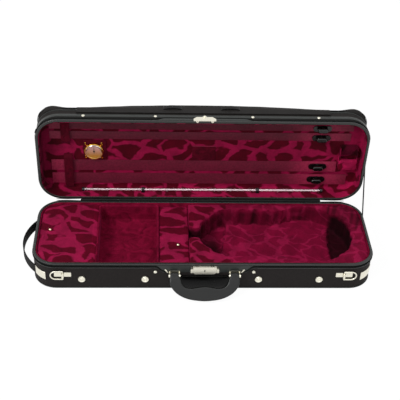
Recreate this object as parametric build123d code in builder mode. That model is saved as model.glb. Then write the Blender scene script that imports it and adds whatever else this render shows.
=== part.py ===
"""Oblong violin case, shown open.

The base lies on the floor and the lid stands open at a right angle behind it.
Millimetres. The origin is the centre of the underside of the base, on the floor.
+X runs along the case to the right, -Y is the handle side and +Z is up.
The lid is drawn in its own plane, whose coordinates are those of the closed lid:
x along the case, y from the handle side (-) to the hinge side (+), z the depth from the rim.
"""
import os
from math import asin, atan2, cos, degrees, hypot, radians, sin

from build123d import *

os.makedirs("parts", exist_ok=True)

# ---- driving dimensions -------------------------------------------------------------------
case_length = 810.0
case_width = 236.0
corner_radius = 56.0
base_height = 78.0
lid_depth = 46.0
shell_wall = 6.0
shell_board = 5.0
bottom_round = 3.0
lid_round = 3.5

binding_height = 4.0
binding_lip = 0.6
binding_round = 1.2
closing_gap = 0.8
fit_gap = 0.3            # between soft pieces and what holds them
skin = 1.2               # thin leather or tape on a wall

# hinge along the back
hinge_length = 610.0
hinge_knuckles = 13
hinge_offset = 3.0       # of the axis, outside the back wall
knuckle_radius = 2.2
pin_radius = 1.1
running_clearance = 0.05
leaf_thickness = 1.0
leaf_width = 15.0
knuckle_gap = 0.4

# outside of the front wall
valance_half_top = 118.0
valance_half_bottom = 92.0
valance_drop = 25.0
zip_tape_width = 7.0
zip_tape_drop = 7.5      # centre of the tape under the rim
foot_radius = 9.0
foot_height = 3.0
foot_drop = 47.0
foot_places = (-289.0, -140.0, 129.0, 274.0)
foot_dome = 1.6
foot_boss = 3.8
foot_boss_height = 0.8
snap_radius = 4.0
snap_height = 2.4
snap_dome = 1.0
base_snap_x = 116.0
snap_drop = 24.0
slider_x = 88.5
slider_z = 55.0
slider_width = 7.0
slider_length = 9.0
slider_height = 3.0
pull_width = 4.5
pull_length = 8.0
pull_thickness = 1.2

# handle
handle_pivot_drop = 28.0
handle_pivot_out = 10.0
handle_half_width = 91.0
handle_reach = 60.6
handle_leg_x = 71.0
handle_leg_width = 20.0
grip_width = 31.0
grip_swell = 3.0
grip_thickness = 18.0
grip_round = 7.0
handle_shoulder = 22.0   # below the axle, where the legs reach full width
handle_outer_corner = 38.0
handle_inner_corner = 18.0
eye_radius = 6.5
axle_radius = 2.2
ear_thickness = 2.4
ear_radius = 4.6
bracket_thickness = 1.6
bracket_height = 16.0
bracket_corner = 2.0
axle_head = 1.2
axle_head_radius = 3.4

# lock and hasp
lock_half_length = 27.5
lock_height = 21.5
lock_thickness = 6.0
lock_sheet = 1.2
lock_corner = 5.0
tongue_x = 18.0
tongue_width = 7.0
tongue_thickness = 1.6
tongue_reach = 9.0
tongue_clearance = 0.5
tongue_rise = 2.6        # of the tongues off the wall of the lid
slide_inner_x = 10.0
slide_thickness = 1.6
slide_height = 6.0
slide_off_wall = 1.6     # of the sliding latch, from the wall
slide_drop = 10.7        # of its middle, under the top edge of the lock
thumb_length = 5.5
thumb_height = 12.0
thumb_corner = 2.0
thumb_proud = 1.0        # of the ears, before the face of the lock
barrel_radius = 4.0
barrel_set_in = 0.2
barrel_floor = 1.0
keyhole_radius = 1.3
keyhole_width = 1.1
keyhole_length = 3.6
hasp_half_length = 27.0
hasp_depth = 7.0
hasp_step_half = 19.0
hasp_step_depth = 15.0
hasp_thickness = 2.2
hasp_knob = 2.8
hasp_knob_height = 2.6
hasp_knob_round = 1.0

# strap rings
ring_x = 333.0
ring_drop = 33.0
ring_wire = 1.7
ring_height = 27.0
ring_reach = 30.0
ring_out = 4.2
saddle_tab = 18.0
saddle_height = 13.0
saddle_sheet = 1.3
saddle_corner = 1.5
rivet_radius = 2.6
rivet_height = 0.9
loop_radius = 3.2

# end handle
end_strap_width = 20.0
end_strap_thickness = 2.4
end_strap_reach = 33.0
end_strap_set_back = 34.0  # of its ends, from the long walls
end_strap_z = 35.0
corner_plate_height = 22.6
corner_plate_rise = 4.0
corner_plate_from = 20.0  # degrees round the corner, from the end wall
corner_plate_to = 58.0

# inside of the base
inner_floor = 12.0
scroll_floor = 23.0
box_wall = 3.0
left_box_edge = -258.0
left_box_top = 72.0
neck_box_left = -107.0
neck_box_right = -35.0
neck_box_top = 66.0
box_lid_thickness = 4.0
box_lid_round = 1.2
cradle_top = 75.0
violin_axis_y = 3.0
neck_notch_width = 41.0
neck_notch_floor = 40.0
upper_bout_radius = 88.0
lower_bout_half_length = 112.0
lower_bout_half_width = 104.0
cavity_left = -10.0
cavity_right = 367.0
waist_half_width = 86.0
cushion_rise = 10.0
cushion_left_rear = 66.0
cushion_left_front = 34.0
cushion_right = 316.0
cushion_right_ends = 334.0
tray_wall = 5.0
lid_clearance = 1.0
lining_edge = 1.0        # of a lining, under the edge of the rim
knob_height = 9.0
knob_ball = 3.5
knob_stem = 1.7
knob_flange = 4.5
knob_flange_height = 1.0
knob_neck = 1.6          # height at which the flange has drawn in to the stem
left_knob_x = -371.0
left_knob_y = 4.5
neck_knob_x = -62.0
neck_knob_y = -43.0

# inside of the lid; rows are distances from the hinge side
lid_board = 4.0
lining = 2.0
strip_rows = (197.0, 168.0, 77.5, 37.0)
tip_cover_places = ((-337.0, 145.0, 215.0), (-333.0, 9.0, 112.0))
tip_cover_width = 22.0
tip_cover_rise = 7.0
tip_cover_cloth = 1.6
tip_cover_bend = 3.0
patch_x = 3.5
patch_row = 116.0
patch_width = 58.0
patch_height = 43.0
patch_thickness = 1.0
pouch_x = 366.0
pouch_row = 112.0
pouch_width = 46.0
pouch_height = 68.0
pouch_panel = 34.0       # height of its front, the rest is its mouth
pouch_depth = 16.0
pouch_cloth = 2.0
pouch_corner = 6.0
pad_size = 47.0
pad_thickness = 3.0
pad_corner = 3.0
bezel_height = 6.0
bezel_width = 2.5
bezel_round = 1.2
lug_length = 8.0
lug_width = 3.0
lug_corner = 1.2
lug_height = 2.0
lug_out = 2.5            # of the middle of a lug, outside the bezel
lug_pin_out = 4.8
lug_pin_radius = 1.3
lug_pin_height = 3.4
dial_thickness = 1.2
spindle_radius = 0.6
spindle_height = 2.2
needle_gap = 0.9         # over the face
needle_thickness = 0.7
needle_hub = 2.2
needle_width = 1.4
needle_tip_width = 0.7
needle_short = 4.0       # of the edge of the face
needle_tail = 6.0
glass_rise = 3.5
glass_seat = 1.5
glass_wall = 1.0
glass_dome = 2.4
spinner_pin = 1.6
spinner_pin_length = 3.2
tube_row = 13.2
tube_depth = 22.5
tube_cap_length = 6.0
tube_cap_wall = 0.9
clip_length = 9.0
clip_sheet = 1.2
clip_shoe = 4.0          # of its foot, wider than the tube
wall_lining = 1.0
strip_left_end = -376.0
strip_right_ends = (371.0, 367.0, 341.0, 371.0)
strip_thickness = 0.8
narrow_strip = 22.5
wide_strip = 32.0
spinner_x = 293.0
spinner_length = 26.5
spinner_width = 13.0
spinner_thickness = 6.0
spinner_round = 2.6
spinner_base_length = 46.0
spinner_base_width = 16.0
spinner_base_height = 9.0
spinner_foot_height = 4.0
spinner_post_radius = 4.5
spinner_rows = (194.0, 166.5, 79.0, 38.5)
tube_radius = 4.5
tube_sheet = 0.8
tube_left = -302.0
tube_right = 311.0
clip_places = (-148.0, 144.0)
dial_x = -269.0
dial_y = -4.0
dial_radius = 21.0

# outside of the lid
pocket_thickness = 20.0
pocket_inset = 2.0
pocket_corner = 34.0
pocket_cloth = 2.5
pocket_zip_width = 6.0
pocket_zip_depth = 8.0   # of the zip of the pocket, behind the board of the lid
flap_half_length = 307.0
flap_from = 31.0
flap_over = 70.0
flap_thickness = 2.4
flap_fold = 7.0
lid_snap_places = (-290.0, -118.0, 116.0, 276.0)
lid_snap_depth = 19.0
lid_valance_depth = 12.0
lid_slider_angle = 20.0  # degrees round the left front corner, from the end wall
pocket_round = 8.0
loop_left_x = -76.0
loop_right_x = 64.0
loop_length = 48.0
loop_height = 6.0
loop_width = 14.0
loop_strap = 3.0
loop_set_back = 2.0      # of the loops, from the fold of the flap
loop_slit = 4.0

# lid stay outside the right end
stay_off_wall = 2.0
stay_thickness = 1.4
stay_width = 9.0
stay_button = 3.0
stay_base_set_back = 48.0  # of its lower end, from the back wall
stay_base_drop = 20.0
stay_lid_depth = 16.0
stay_lid_row = 104.0

# ---- places worked out from the dimensions --------------------------------------------------
half_width = case_width / 2
half_length = case_length / 2
wall_top = base_height - binding_height
inner_length = case_length - 2 * shell_wall
inner_width = case_width - 2 * shell_wall
inner_radius = corner_radius - shell_wall
corner_x = half_length - corner_radius
corner_y = half_width - corner_radius

hinge_y = half_width + hinge_offset
hinge_z = base_height + closing_gap / 2
lid_rim_y = hinge_y + closing_gap / 2
lid_low_z = hinge_z + hinge_offset
lid_mid_z = lid_low_z + half_width

front = Plane(origin=(0, -half_width, 0), x_dir=(1, 0, 0), z_dir=(0, -1, 0))
lid = Plane(origin=(0, lid_rim_y, lid_mid_z), x_dir=(1, 0, 0), z_dir=(0, 1, 0))
lid_front = Plane(origin=(0, lid_rim_y, lid_mid_z + half_width), x_dir=(1, 0, 0), z_dir=(0, 0, 1))
lid_floor = lid_depth - lid_board - lining
block_gap = 2 * fit_gap + wall_lining
box_lid_gap = fit_gap + wall_lining + lid_clearance

# ---- base: shell, binding, outer trim --------------------------------------------------------
with BuildPart() as base_shell:
    with BuildSketch():
        RectangleRounded(case_length, case_width, corner_radius)
    extrude(amount=wall_top)
    fillet(base_shell.faces().sort_by(Axis.Z)[0].edges(), bottom_round)
    with BuildSketch(Plane.XY.offset(shell_board)):
        RectangleRounded(inner_length, inner_width, inner_radius)
    extrude(amount=base_height, mode=Mode.SUBTRACT)


def binding_ring():
    """Cross-section ring of the rolled rim binding, drawn in the current sketch."""
    RectangleRounded(case_length + 2 * binding_lip, case_width + 2 * binding_lip, corner_radius + binding_lip)
    RectangleRounded(inner_length, inner_width, inner_radius, mode=Mode.SUBTRACT)


with BuildPart() as base_binding:
    with BuildSketch(Plane.XY.offset(wall_top)):
        binding_ring()
    extrude(amount=binding_height)
    fillet(base_binding.faces().sort_by(Axis.Z)[-1].edges(), binding_round)

valance_bottom = base_height - valance_drop
zip_tape_z = base_height - zip_tape_drop


def valance_outline(plane, top, bottom):
    """Leather panel between two heights that narrows away from the rim in an S-curve at each end."""
    with BuildSketch(plane) as outline:
        with BuildLine():
            right_end = Spline(
                (valance_half_top, top), (valance_half_bottom, bottom), tangents=((-1, 0), (-1, 0))
            )
            lower_edge = Line(right_end @ 1, (-valance_half_bottom, bottom))
            left_end = Spline(lower_edge @ 1, (-valance_half_top, top), tangents=((-1, 0), (-1, 0)))
            Line(left_end @ 1, right_end @ 0)
        make_face()
    return outline.sketch


with BuildPart() as base_valance:
    extrude(valance_outline(front, wall_top, valance_bottom), amount=skin)

# the zip tape runs round the ends under the binding and dips beside the valance
with BuildPart() as base_zip:
    with BuildSketch(Plane.XY.offset(zip_tape_z - zip_tape_width / 2)):
        RectangleRounded(case_length + skin, case_width + skin, corner_radius + skin / 2)
        RectangleRounded(case_length, case_width, corner_radius, mode=Mode.SUBTRACT)
        with Locations((0, -half_width)):
            Rectangle(2 * (valance_half_top + zip_tape_width), corner_radius, mode=Mode.SUBTRACT)
        with Locations((0, half_width)):
            Rectangle(hinge_length + zip_tape_width, corner_radius, mode=Mode.SUBTRACT)
    extrude(amount=zip_tape_width)

with BuildPart() as zip_sliders:
    for side in (-1, 1):
        with BuildSketch(front.offset(skin)):
            with Locations((side * slider_x, slider_z)):
                RectangleRounded(slider_width, slider_length, slider_width / 4)
        extrude(amount=slider_height)
        with BuildSketch(front.offset(skin + slider_height)):
            with Locations((side * slider_x, slider_z - slider_length / 4 - pull_length / 2)):
                RectangleRounded(pull_width, pull_length, pull_width / 3)
        extrude(amount=pull_thickness)

foot_spots = [(x, base_height - foot_drop) for x in foot_places]
with BuildPart() as front_feet:
    with BuildSketch(front):
        with Locations(*foot_spots):
            Circle(foot_radius)
    extrude(amount=foot_height)
    fillet(front_feet.faces().sort_by(Axis.Y)[:len(foot_places)].edges(), foot_dome)
    with BuildSketch(front.offset(foot_height)):
        with Locations(*foot_spots):
            Circle(foot_boss)
    extrude(amount=foot_boss_height)

with BuildPart() as base_snaps:
    with BuildSketch(front):
        with Locations((-base_snap_x, base_height - snap_drop), (base_snap_x, base_height - snap_drop)):
            Circle(snap_radius)
    extrude(amount=snap_height)
    fillet(base_snaps.faces().sort_by(Axis.Y)[:2].edges(), snap_dome)

# ---- hinge ------------------------------------------------------------------------------------
knuckle_pitch = hinge_length / hinge_knuckles
knuckle_length = knuckle_pitch - knuckle_gap


def hinge_leaf(wall, first):
    """Leaf on a wall whose plane has y running away from the axis, with every second knuckle."""
    middles = [-hinge_length / 2 + knuckle_pitch * (n + 0.5) for n in range(hinge_knuckles)]
    axis_start = wall.from_local_coords((-hinge_length / 2, 0, hinge_offset))
    with BuildPart() as leaf:
        with BuildSketch(wall.offset(binding_lip)):
            with Locations((0, leaf_width / 2)):
                Rectangle(hinge_length - knuckle_gap, leaf_width)
            for x in middles[1 - first::2]:
                with Locations((x, 0)):
                    Rectangle(knuckle_pitch, 2 * (knuckle_radius + knuckle_gap), mode=Mode.SUBTRACT)
        extrude(amount=leaf_thickness)
        for x in middles[first::2]:
            end = wall.from_local_coords((x - knuckle_length / 2, 0, hinge_offset))
            with BuildSketch(Plane(origin=end, x_dir=wall.y_dir, z_dir=wall.x_dir)):
                Circle(knuckle_radius)
            extrude(amount=knuckle_length)
        with BuildSketch(Plane(origin=axis_start, x_dir=wall.y_dir, z_dir=wall.x_dir)):
            Circle(pin_radius + running_clearance)
        extrude(amount=hinge_length, mode=Mode.SUBTRACT)
    return leaf


base_back = Plane(origin=(0, half_width, hinge_z), x_dir=(1, 0, 0), z_dir=(0, 1, 0))
lid_back = Plane(origin=(0, hinge_y, lid_low_z), x_dir=(-1, 0, 0), z_dir=(0, 0, -1))
hinge_base_leaf = hinge_leaf(base_back, 0)
hinge_lid_leaf = hinge_leaf(lid_back, 1)

with BuildPart() as hinge_pin:
    with BuildSketch(Plane(origin=(-hinge_length / 2, hinge_y, hinge_z), x_dir=(0, 1, 0), z_dir=(1, 0, 0))):
        Circle(pin_radius)
    extrude(amount=hinge_length)

# ---- handle -------------------------------------------------------------------------------------
pivot_y = -half_width - handle_pivot_out
pivot_z = base_height - handle_pivot_drop
# the grip lies on the floor: its lower rounded edge just clears it
edge_reach = handle_reach - grip_round
edge_depth = grip_thickness / 2 - grip_round
handle_angle = degrees(
    asin((pivot_z - grip_round - fit_gap) / hypot(edge_reach, edge_depth)) - atan2(edge_depth, edge_reach)
)
handle_plane = Plane(
    origin=(0, pivot_y, pivot_z), x_dir=(1, 0, 0),
    z_dir=(0, -sin(radians(handle_angle)), cos(radians(handle_angle))),
)
handle_side = Plane(origin=(0, pivot_y, pivot_z), x_dir=handle_plane.y_dir, z_dir=(-1, 0, 0))
leg_inner = handle_leg_x - handle_leg_width / 2
leg_outer = handle_leg_x + handle_leg_width / 2
grip_inner_y = grip_width - handle_reach

with BuildPart() as handle_grip:
    with BuildSketch(handle_plane.offset(-grip_thickness / 2)) as grip_outline:
        with BuildLine():
            Polyline(
                (-leg_outer, eye_radius), (-leg_outer, -eye_radius), (-handle_half_width, -handle_shoulder),
                (-handle_half_width, -handle_reach), (handle_half_width, -handle_reach),
                (handle_half_width, -handle_shoulder), (leg_outer, -eye_radius), (leg_outer, eye_radius),
                close=True,
            )
        make_face()
        fillet(grip_outline.vertices().sort_by(Axis.Y)[:2], handle_outer_corner)
        with BuildLine():
            left_leg = Line((-leg_inner, eye_radius), (-leg_inner, grip_inner_y))
            swell = ThreePointArc(left_leg @ 1, (0, grip_inner_y + grip_swell), (leg_inner, grip_inner_y))
            right_leg = Line(swell @ 1, (leg_inner, eye_radius))
            Line(right_leg @ 1, left_leg @ 0)
        make_face(mode=Mode.SUBTRACT)
        inner_corners = [v for v in grip_outline.vertices() if abs(v.Y - grip_inner_y) < 1e-3]
        fillet(inner_corners, handle_inner_corner)
    extrude(amount=grip_thickness)
    flat_faces = handle_grip.faces().filter_by(handle_plane)
    fillet(flat_faces.edges(), grip_round)
    with BuildSketch(handle_side.offset(-half_length)):
        Circle(eye_radius)
        with BuildLine():
            Polyline(
                (0, eye_radius), (-handle_shoulder, grip_thickness / 2),
                (-handle_reach - fit_gap, grip_thickness / 2), (-handle_reach - fit_gap, -grip_thickness / 2),
                (-handle_shoulder, -grip_thickness / 2), (0, -eye_radius), close=True,
            )
        make_face()
    extrude(amount=case_length, mode=Mode.INTERSECT)
    with BuildSketch(handle_side.offset(-half_length)):
        Circle(axle_radius + running_clearance)
    extrude(amount=case_length, mode=Mode.SUBTRACT)

ear_x = handle_leg_width / 2 + fit_gap
with BuildPart() as handle_brackets:
    for side in (-1, 1):
        with BuildSketch(front.offset(skin)):
            with Locations((side * handle_leg_x, pivot_z)):
                RectangleRounded(2 * (ear_x + ear_thickness), bracket_height, bracket_corner)
        extrude(amount=bracket_thickness)
        for ear in (-1, 1):
            ear_start = side * handle_leg_x + ear * (ear_x + ear_thickness / 2) - ear_thickness / 2
            with BuildSketch(Plane(origin=(ear_start, 0, 0), x_dir=(0, 1, 0), z_dir=(1, 0, 0))):
                with Locations((pivot_y, pivot_z)):
                    Circle(ear_radius)
                with Locations(((pivot_y - half_width - skin) / 2, pivot_z)):
                    Rectangle(half_width + skin - abs(pivot_y), 2 * ear_radius)
                with Locations((pivot_y, pivot_z)):
                    Circle(axle_radius, mode=Mode.SUBTRACT)
            extrude(amount=ear_thickness)

with BuildPart() as handle_axles:
    for side in (-1, 1):
        axle_start = side * handle_leg_x - ear_x - ear_thickness - axle_head
        with BuildSketch(Plane(origin=(axle_start, pivot_y, pivot_z), x_dir=(0, 1, 0), z_dir=(1, 0, 0))):
            Circle(axle_radius)
        extrude(amount=2 * (ear_x + ear_thickness + axle_head))
        for end in (axle_start, axle_start + axle_head + 2 * (ear_x + ear_thickness)):
            with BuildSketch(Plane(origin=(end, pivot_y, pivot_z), x_dir=(0, 1, 0), z_dir=(1, 0, 0))):
                Circle(axle_head_radius)
            extrude(amount=axle_head)

# ---- lock ----------------------------------------------------------------------------------------
lock_top = wall_top - fit_gap
lock_z = lock_top - lock_height / 2
slot_width = tongue_width + 2 * tongue_clearance
tongue_y = -half_width - tongue_rise - tongue_thickness / 2
thumb_y = -half_width - slide_off_wall - slide_thickness / 2
thumb_z = lock_top - slide_drop
with BuildPart() as lock_case:
    with BuildSketch(front.offset(skin)) as lock_outline:
        with Locations((0, lock_z)):
            Rectangle(2 * lock_half_length, lock_height)
        chamfer(lock_outline.vertices().sort_by(Axis.Y)[:2], lock_corner)
    extrude(amount=lock_thickness)
    with BuildSketch(front.offset(skin)):
        with Locations((0, lock_z)):
            Rectangle(2 * (lock_half_length - lock_sheet), lock_height - 2 * lock_corner)
    extrude(amount=lock_thickness - lock_sheet, mode=Mode.SUBTRACT)
    # slots for the tongues of the hasp and a centre slot, cut down from the top edge
    with BuildSketch(Plane.XY.offset(lock_z)):
        with Locations(*[(x, tongue_y) for x in (-tongue_x, tongue_x)]):
            Rectangle(slot_width, tongue_thickness + 2 * tongue_clearance)
    extrude(amount=lock_height, mode=Mode.SUBTRACT)
    # end openings for the thumb pieces
    with BuildSketch(Plane.YZ.offset(-case_length / 2)):
        with Locations((thumb_y, thumb_z)):
            Rectangle(slide_thickness + 2 * tongue_clearance, slide_height + 2 * tongue_clearance)
    extrude(amount=case_length, mode=Mode.SUBTRACT)
    # keyhole
    with BuildSketch(front.offset(skin)):
        with Locations((0, lock_z)):
            Circle(barrel_radius + running_clearance)
    extrude(amount=lock_thickness, mode=Mode.SUBTRACT)


def lock_slide(side):
    """Sliding latch with its thumb ear outside the end of the lock case."""
    with BuildPart() as slide:
        with BuildSketch(front.offset(slide_off_wall)):
            with Locations((side * (slide_inner_x + lock_half_length + thumb_length) / 2, thumb_z)):
                Rectangle(lock_half_length + thumb_length - slide_inner_x, slide_height)
        extrude(amount=slide_thickness)
        with BuildSketch(front.offset(skin)):
            with Locations((side * (lock_half_length + fit_gap + thumb_length / 2), thumb_z)):
                RectangleRounded(thumb_length, thumb_height, thumb_corner)
        extrude(amount=lock_thickness + thumb_proud)
    return slide


lock_thumb_left = lock_slide(-1)
lock_thumb_right = lock_slide(1)

with BuildPart() as key_barrel:
    with BuildSketch(front.offset(skin + fit_gap)):
        with Locations((0, lock_z)):
            Circle(barrel_radius)
    extrude(amount=lock_thickness - fit_gap - barrel_set_in)
    with BuildSketch(front.offset(skin + fit_gap + barrel_floor)):
        with Locations((0, lock_z)):
            Circle(keyhole_radius)
        with Locations((0, lock_z - keyhole_length / 2)):
            Rectangle(keyhole_width, keyhole_length)
    extrude(amount=lock_thickness, mode=Mode.SUBTRACT)

# hasp on the front of the lid, its tongues pass into the lock when the lid is shut
with BuildPart() as hasp:
    with BuildSketch(lid_front.offset(skin)) as hasp_outline:
        with BuildLine():
            Polyline(
                (-hasp_half_length, 0), (hasp_half_length, 0), (hasp_half_length, hasp_depth),
                (hasp_step_half, hasp_step_depth), (-hasp_step_half, hasp_step_depth),
                (-hasp_half_length, hasp_depth), close=True,
            )
        make_face()
        fillet(hasp_outline.vertices().sort_by(Axis.Y)[2:], hasp_thickness)
        with Locations((0, hasp_step_depth)):
            Circle(hasp_knob + hasp_thickness)
    extrude(amount=hasp_thickness)
    with BuildSketch(lid_front.offset(tongue_rise)):
        for x in (-tongue_x, tongue_x):
            with Locations((x, (hasp_depth - tongue_reach + tongue_width / 2) / 2)):
                Rectangle(tongue_width, hasp_depth + tongue_reach - tongue_width / 2)
            with Locations((x, tongue_width / 2 - tongue_reach)):
                Circle(tongue_width / 2)
                Circle(tongue_width / 4, mode=Mode.SUBTRACT)
    extrude(amount=tongue_thickness)
    with BuildSketch(lid_front.offset(skin + hasp_thickness)):
        with Locations((0, hasp_step_depth)):
            Circle(hasp_knob)
    extrude(amount=hasp_knob_height)
    fillet(hasp.faces().sort_by(Axis.Z)[-1].edges(), hasp_knob_round)

# ---- strap rings ------------------------------------------------------------------------------------
ring_z = base_height - ring_drop
bar_y = -half_width - ring_out
tab_middle = loop_radius - saddle_sheet + saddle_tab / 2


def ring_saddle(side):
    """Plate with a tab each side of the bent loop that holds the bar of the ring."""
    with BuildSketch(front) as tabs:
        for way in (-1, 1):
            with Locations((side * ring_x + way * tab_middle, ring_z)):
                RectangleRounded(saddle_tab, saddle_height, saddle_corner)
    loop_start = (side * ring_x, bar_y, ring_z - saddle_height / 2)
    with BuildSketch(Plane(origin=loop_start, x_dir=(1, 0, 0))) as loop:
        Circle(loop_radius)
        with Locations((0, -bar_y - half_width - ring_out / 2)):
            Rectangle(2 * loop_radius, ring_out)
        Circle(ring_wire + running_clearance, mode=Mode.SUBTRACT)
    return tabs.sketch, loop.sketch


with BuildPart() as ring_saddles:
    for side in (-1, 1):
        tabs, loop = ring_saddle(side)
        extrude(tabs, amount=saddle_sheet)
        extrude(loop, amount=saddle_height)
        with BuildSketch(front.offset(saddle_sheet)):
            with Locations((side * ring_x - tab_middle, ring_z), (side * ring_x + tab_middle, ring_z)):
                Circle(rivet_radius)
        extrude(amount=rivet_height)


def strap_ring(side):
    """D-shaped wire ring lying outwards from its bar."""
    flat = Plane(origin=(side * ring_x, bar_y, ring_z), x_dir=(side, 0, 0), z_dir=(0, -side, 0))
    half = ring_height / 2 - ring_wire
    straight = ring_reach - ring_wire - half
    bow_centre = flat.from_local_coords((straight, 0, 0))
    with BuildPart() as ring:
        bar_start = flat.from_local_coords((0, -half, 0))
        with BuildSketch(Plane(origin=bar_start, x_dir=flat.x_dir, z_dir=flat.y_dir)):
            Circle(ring_wire)
        extrude(amount=2 * half)
        for end in (-half, half):
            leg_start = flat.from_local_coords((0, end, 0))
            with BuildSketch(Plane(origin=leg_start, x_dir=flat.y_dir, z_dir=flat.x_dir)):
                Circle(ring_wire)
            extrude(amount=straight)
            with Locations(leg_start):
                Sphere(ring_wire)
        with BuildSketch(Plane(origin=bow_centre, x_dir=flat.y_dir, z_dir=flat.x_dir)) as bow:
            with Locations((-half, 0)):
                Circle(ring_wire)
        revolve(axis=Axis(bow_centre, flat.z_dir), revolution_arc=180)
    return ring


strap_ring_left = strap_ring(-1)
strap_ring_right = strap_ring(1)

# ---- end handle and corner plates -----------------------------------------------------------------
end_strap_half = half_width - end_strap_set_back
strap_radius = (end_strap_half**2 + end_strap_reach**2) / (2 * end_strap_reach)
strap_centre_x = -half_length - end_strap_reach + strap_radius
with BuildPart() as end_strap:
    with BuildSketch(Plane.XY.offset(end_strap_z - end_strap_width / 2)):
        with Locations((strap_centre_x, 0)):
            Circle(strap_radius)
            Circle(strap_radius - end_strap_thickness, mode=Mode.SUBTRACT)
        RectangleRounded(
            case_length + 2 * fit_gap, case_width + 2 * fit_gap, corner_radius + fit_gap, mode=Mode.SUBTRACT
        )
        with Locations((-half_length, 0)):
            Rectangle(2 * corner_radius, case_width, mode=Mode.INTERSECT)
    extrude(amount=end_strap_width)


def corner_plate(end, side):
    """Metal keeper bent round a corner of the base, open beneath for the end of the strap."""
    edges = [
        (end * (corner_x + 2 * corner_radius * cos(radians(angle))),
         side * (corner_y + 2 * corner_radius * sin(radians(angle))))
        for angle in (corner_plate_from, corner_plate_to)
    ]
    with BuildPart() as plate:
        with BuildSketch(Plane.XY.offset(end_strap_z - corner_plate_height / 2)):
            with Locations((end * corner_x, side * corner_y)):
                Circle(corner_radius + corner_plate_rise)
                Circle(corner_radius, mode=Mode.SUBTRACT)
            with BuildLine():
                Polyline((end * corner_x, side * corner_y), *edges, close=True)
            make_face(mode=Mode.INTERSECT)
        extrude(amount=corner_plate_height)
        with BuildSketch(Plane.XY.offset(end_strap_z - end_strap_width / 2 - fit_gap)):
            with Locations((end * abs(strap_centre_x), 0)):
                Circle(strap_radius + fit_gap)
        extrude(amount=end_strap_width + 2 * fit_gap, mode=Mode.SUBTRACT)
    return plate.part


with BuildPart() as corner_plates:
    for end, side in ((-1, -1), (1, -1), (-1, 1)):
        add(corner_plate(end, side))


# ---- inside of the base ------------------------------------------------------------------------------
def inner_plan(height, left, right, gap):
    """Stretch of the inside of the base between two x values, clear of the walls by a gap."""
    with BuildSketch(Plane.XY.offset(height)) as plan:
        RectangleRounded(inner_length - 2 * gap, inner_width - 2 * gap, inner_radius - gap)
        with Locations(((left + right) / 2, 0)):
            Rectangle(right - left, case_width, mode=Mode.INTERSECT)
    return plan.sketch


# velvet on the inside of the wall, up to the rim
lining_height = base_height - lining_edge - shell_board
with BuildPart() as base_lining:
    extrude(inner_plan(shell_board, -half_length, half_length, fit_gap), amount=lining_height)
    extrude(
        inner_plan(shell_board, -half_length, half_length, fit_gap + wall_lining),
        amount=base_height, mode=Mode.SUBTRACT,
    )

left_box_wall_top = left_box_top - box_lid_thickness - fit_gap
with BuildPart() as left_box:
    extrude(
        inner_plan(shell_board, -half_length, left_box_edge, block_gap), amount=left_box_wall_top - shell_board
    )
    extrude(
        inner_plan(inner_floor, -half_length, left_box_edge - box_wall, block_gap + box_wall),
        amount=base_height, mode=Mode.SUBTRACT,
    )

with BuildPart() as left_box_lid:
    extrude(
        inner_plan(left_box_top - box_lid_thickness, -half_length, left_box_edge, box_lid_gap),
        amount=box_lid_thickness,
    )
    fillet(left_box_lid.faces().sort_by(Axis.Z)[-1].edges(), box_lid_round)

with BuildPart() as scroll_tray:
    extrude(
        inner_plan(shell_board, left_box_edge + fit_gap, neck_box_left - fit_gap, block_gap),
        amount=left_box_top - shell_board,
    )
    extrude(
        inner_plan(scroll_floor, left_box_edge + tray_wall, neck_box_left - tray_wall, tray_wall),
        amount=base_height, mode=Mode.SUBTRACT,
    )

with BuildPart() as neck_box:
    extrude(
        inner_plan(shell_board, neck_box_left, neck_box_right, block_gap),
        amount=neck_box_top - box_lid_thickness - fit_gap - shell_board,
    )
    extrude(
        inner_plan(inner_floor, neck_box_left + box_wall, neck_box_right - box_wall, block_gap + box_wall),
        amount=base_height, mode=Mode.SUBTRACT,
    )

with BuildPart() as neck_box_lid:
    extrude(
        inner_plan(
            neck_box_top - box_lid_thickness, neck_box_left, neck_box_right - lid_clearance, box_lid_gap
        ),
        amount=box_lid_thickness,
    )
    fillet(neck_box_lid.faces().sort_by(Axis.Z)[-1].edges(), box_lid_round)


def lid_knob(x, y, top):
    """Small turned knob standing on a box lid."""
    with BuildPart() as knob:
        with BuildSketch(Plane(origin=(x, y, top), x_dir=(1, 0, 0), z_dir=(0, -1, 0))):
            with BuildLine():
                Polyline(
                    (0, 0), (knob_flange, 0), (knob_flange, knob_flange_height), (knob_stem, knob_neck),
                    (knob_stem, knob_height - knob_ball), (0, knob_height - knob_ball), close=True,
                )
            make_face()
        revolve(axis=Axis((x, y, top), (0, 0, 1)))
        with Locations((x, y, top + knob_height - knob_ball)):
            Sphere(knob_ball)
    return knob


left_box_knob = lid_knob(left_knob_x, left_knob_y, left_box_top)
neck_box_knob = lid_knob(neck_knob_x, neck_knob_y, neck_box_top)

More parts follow.
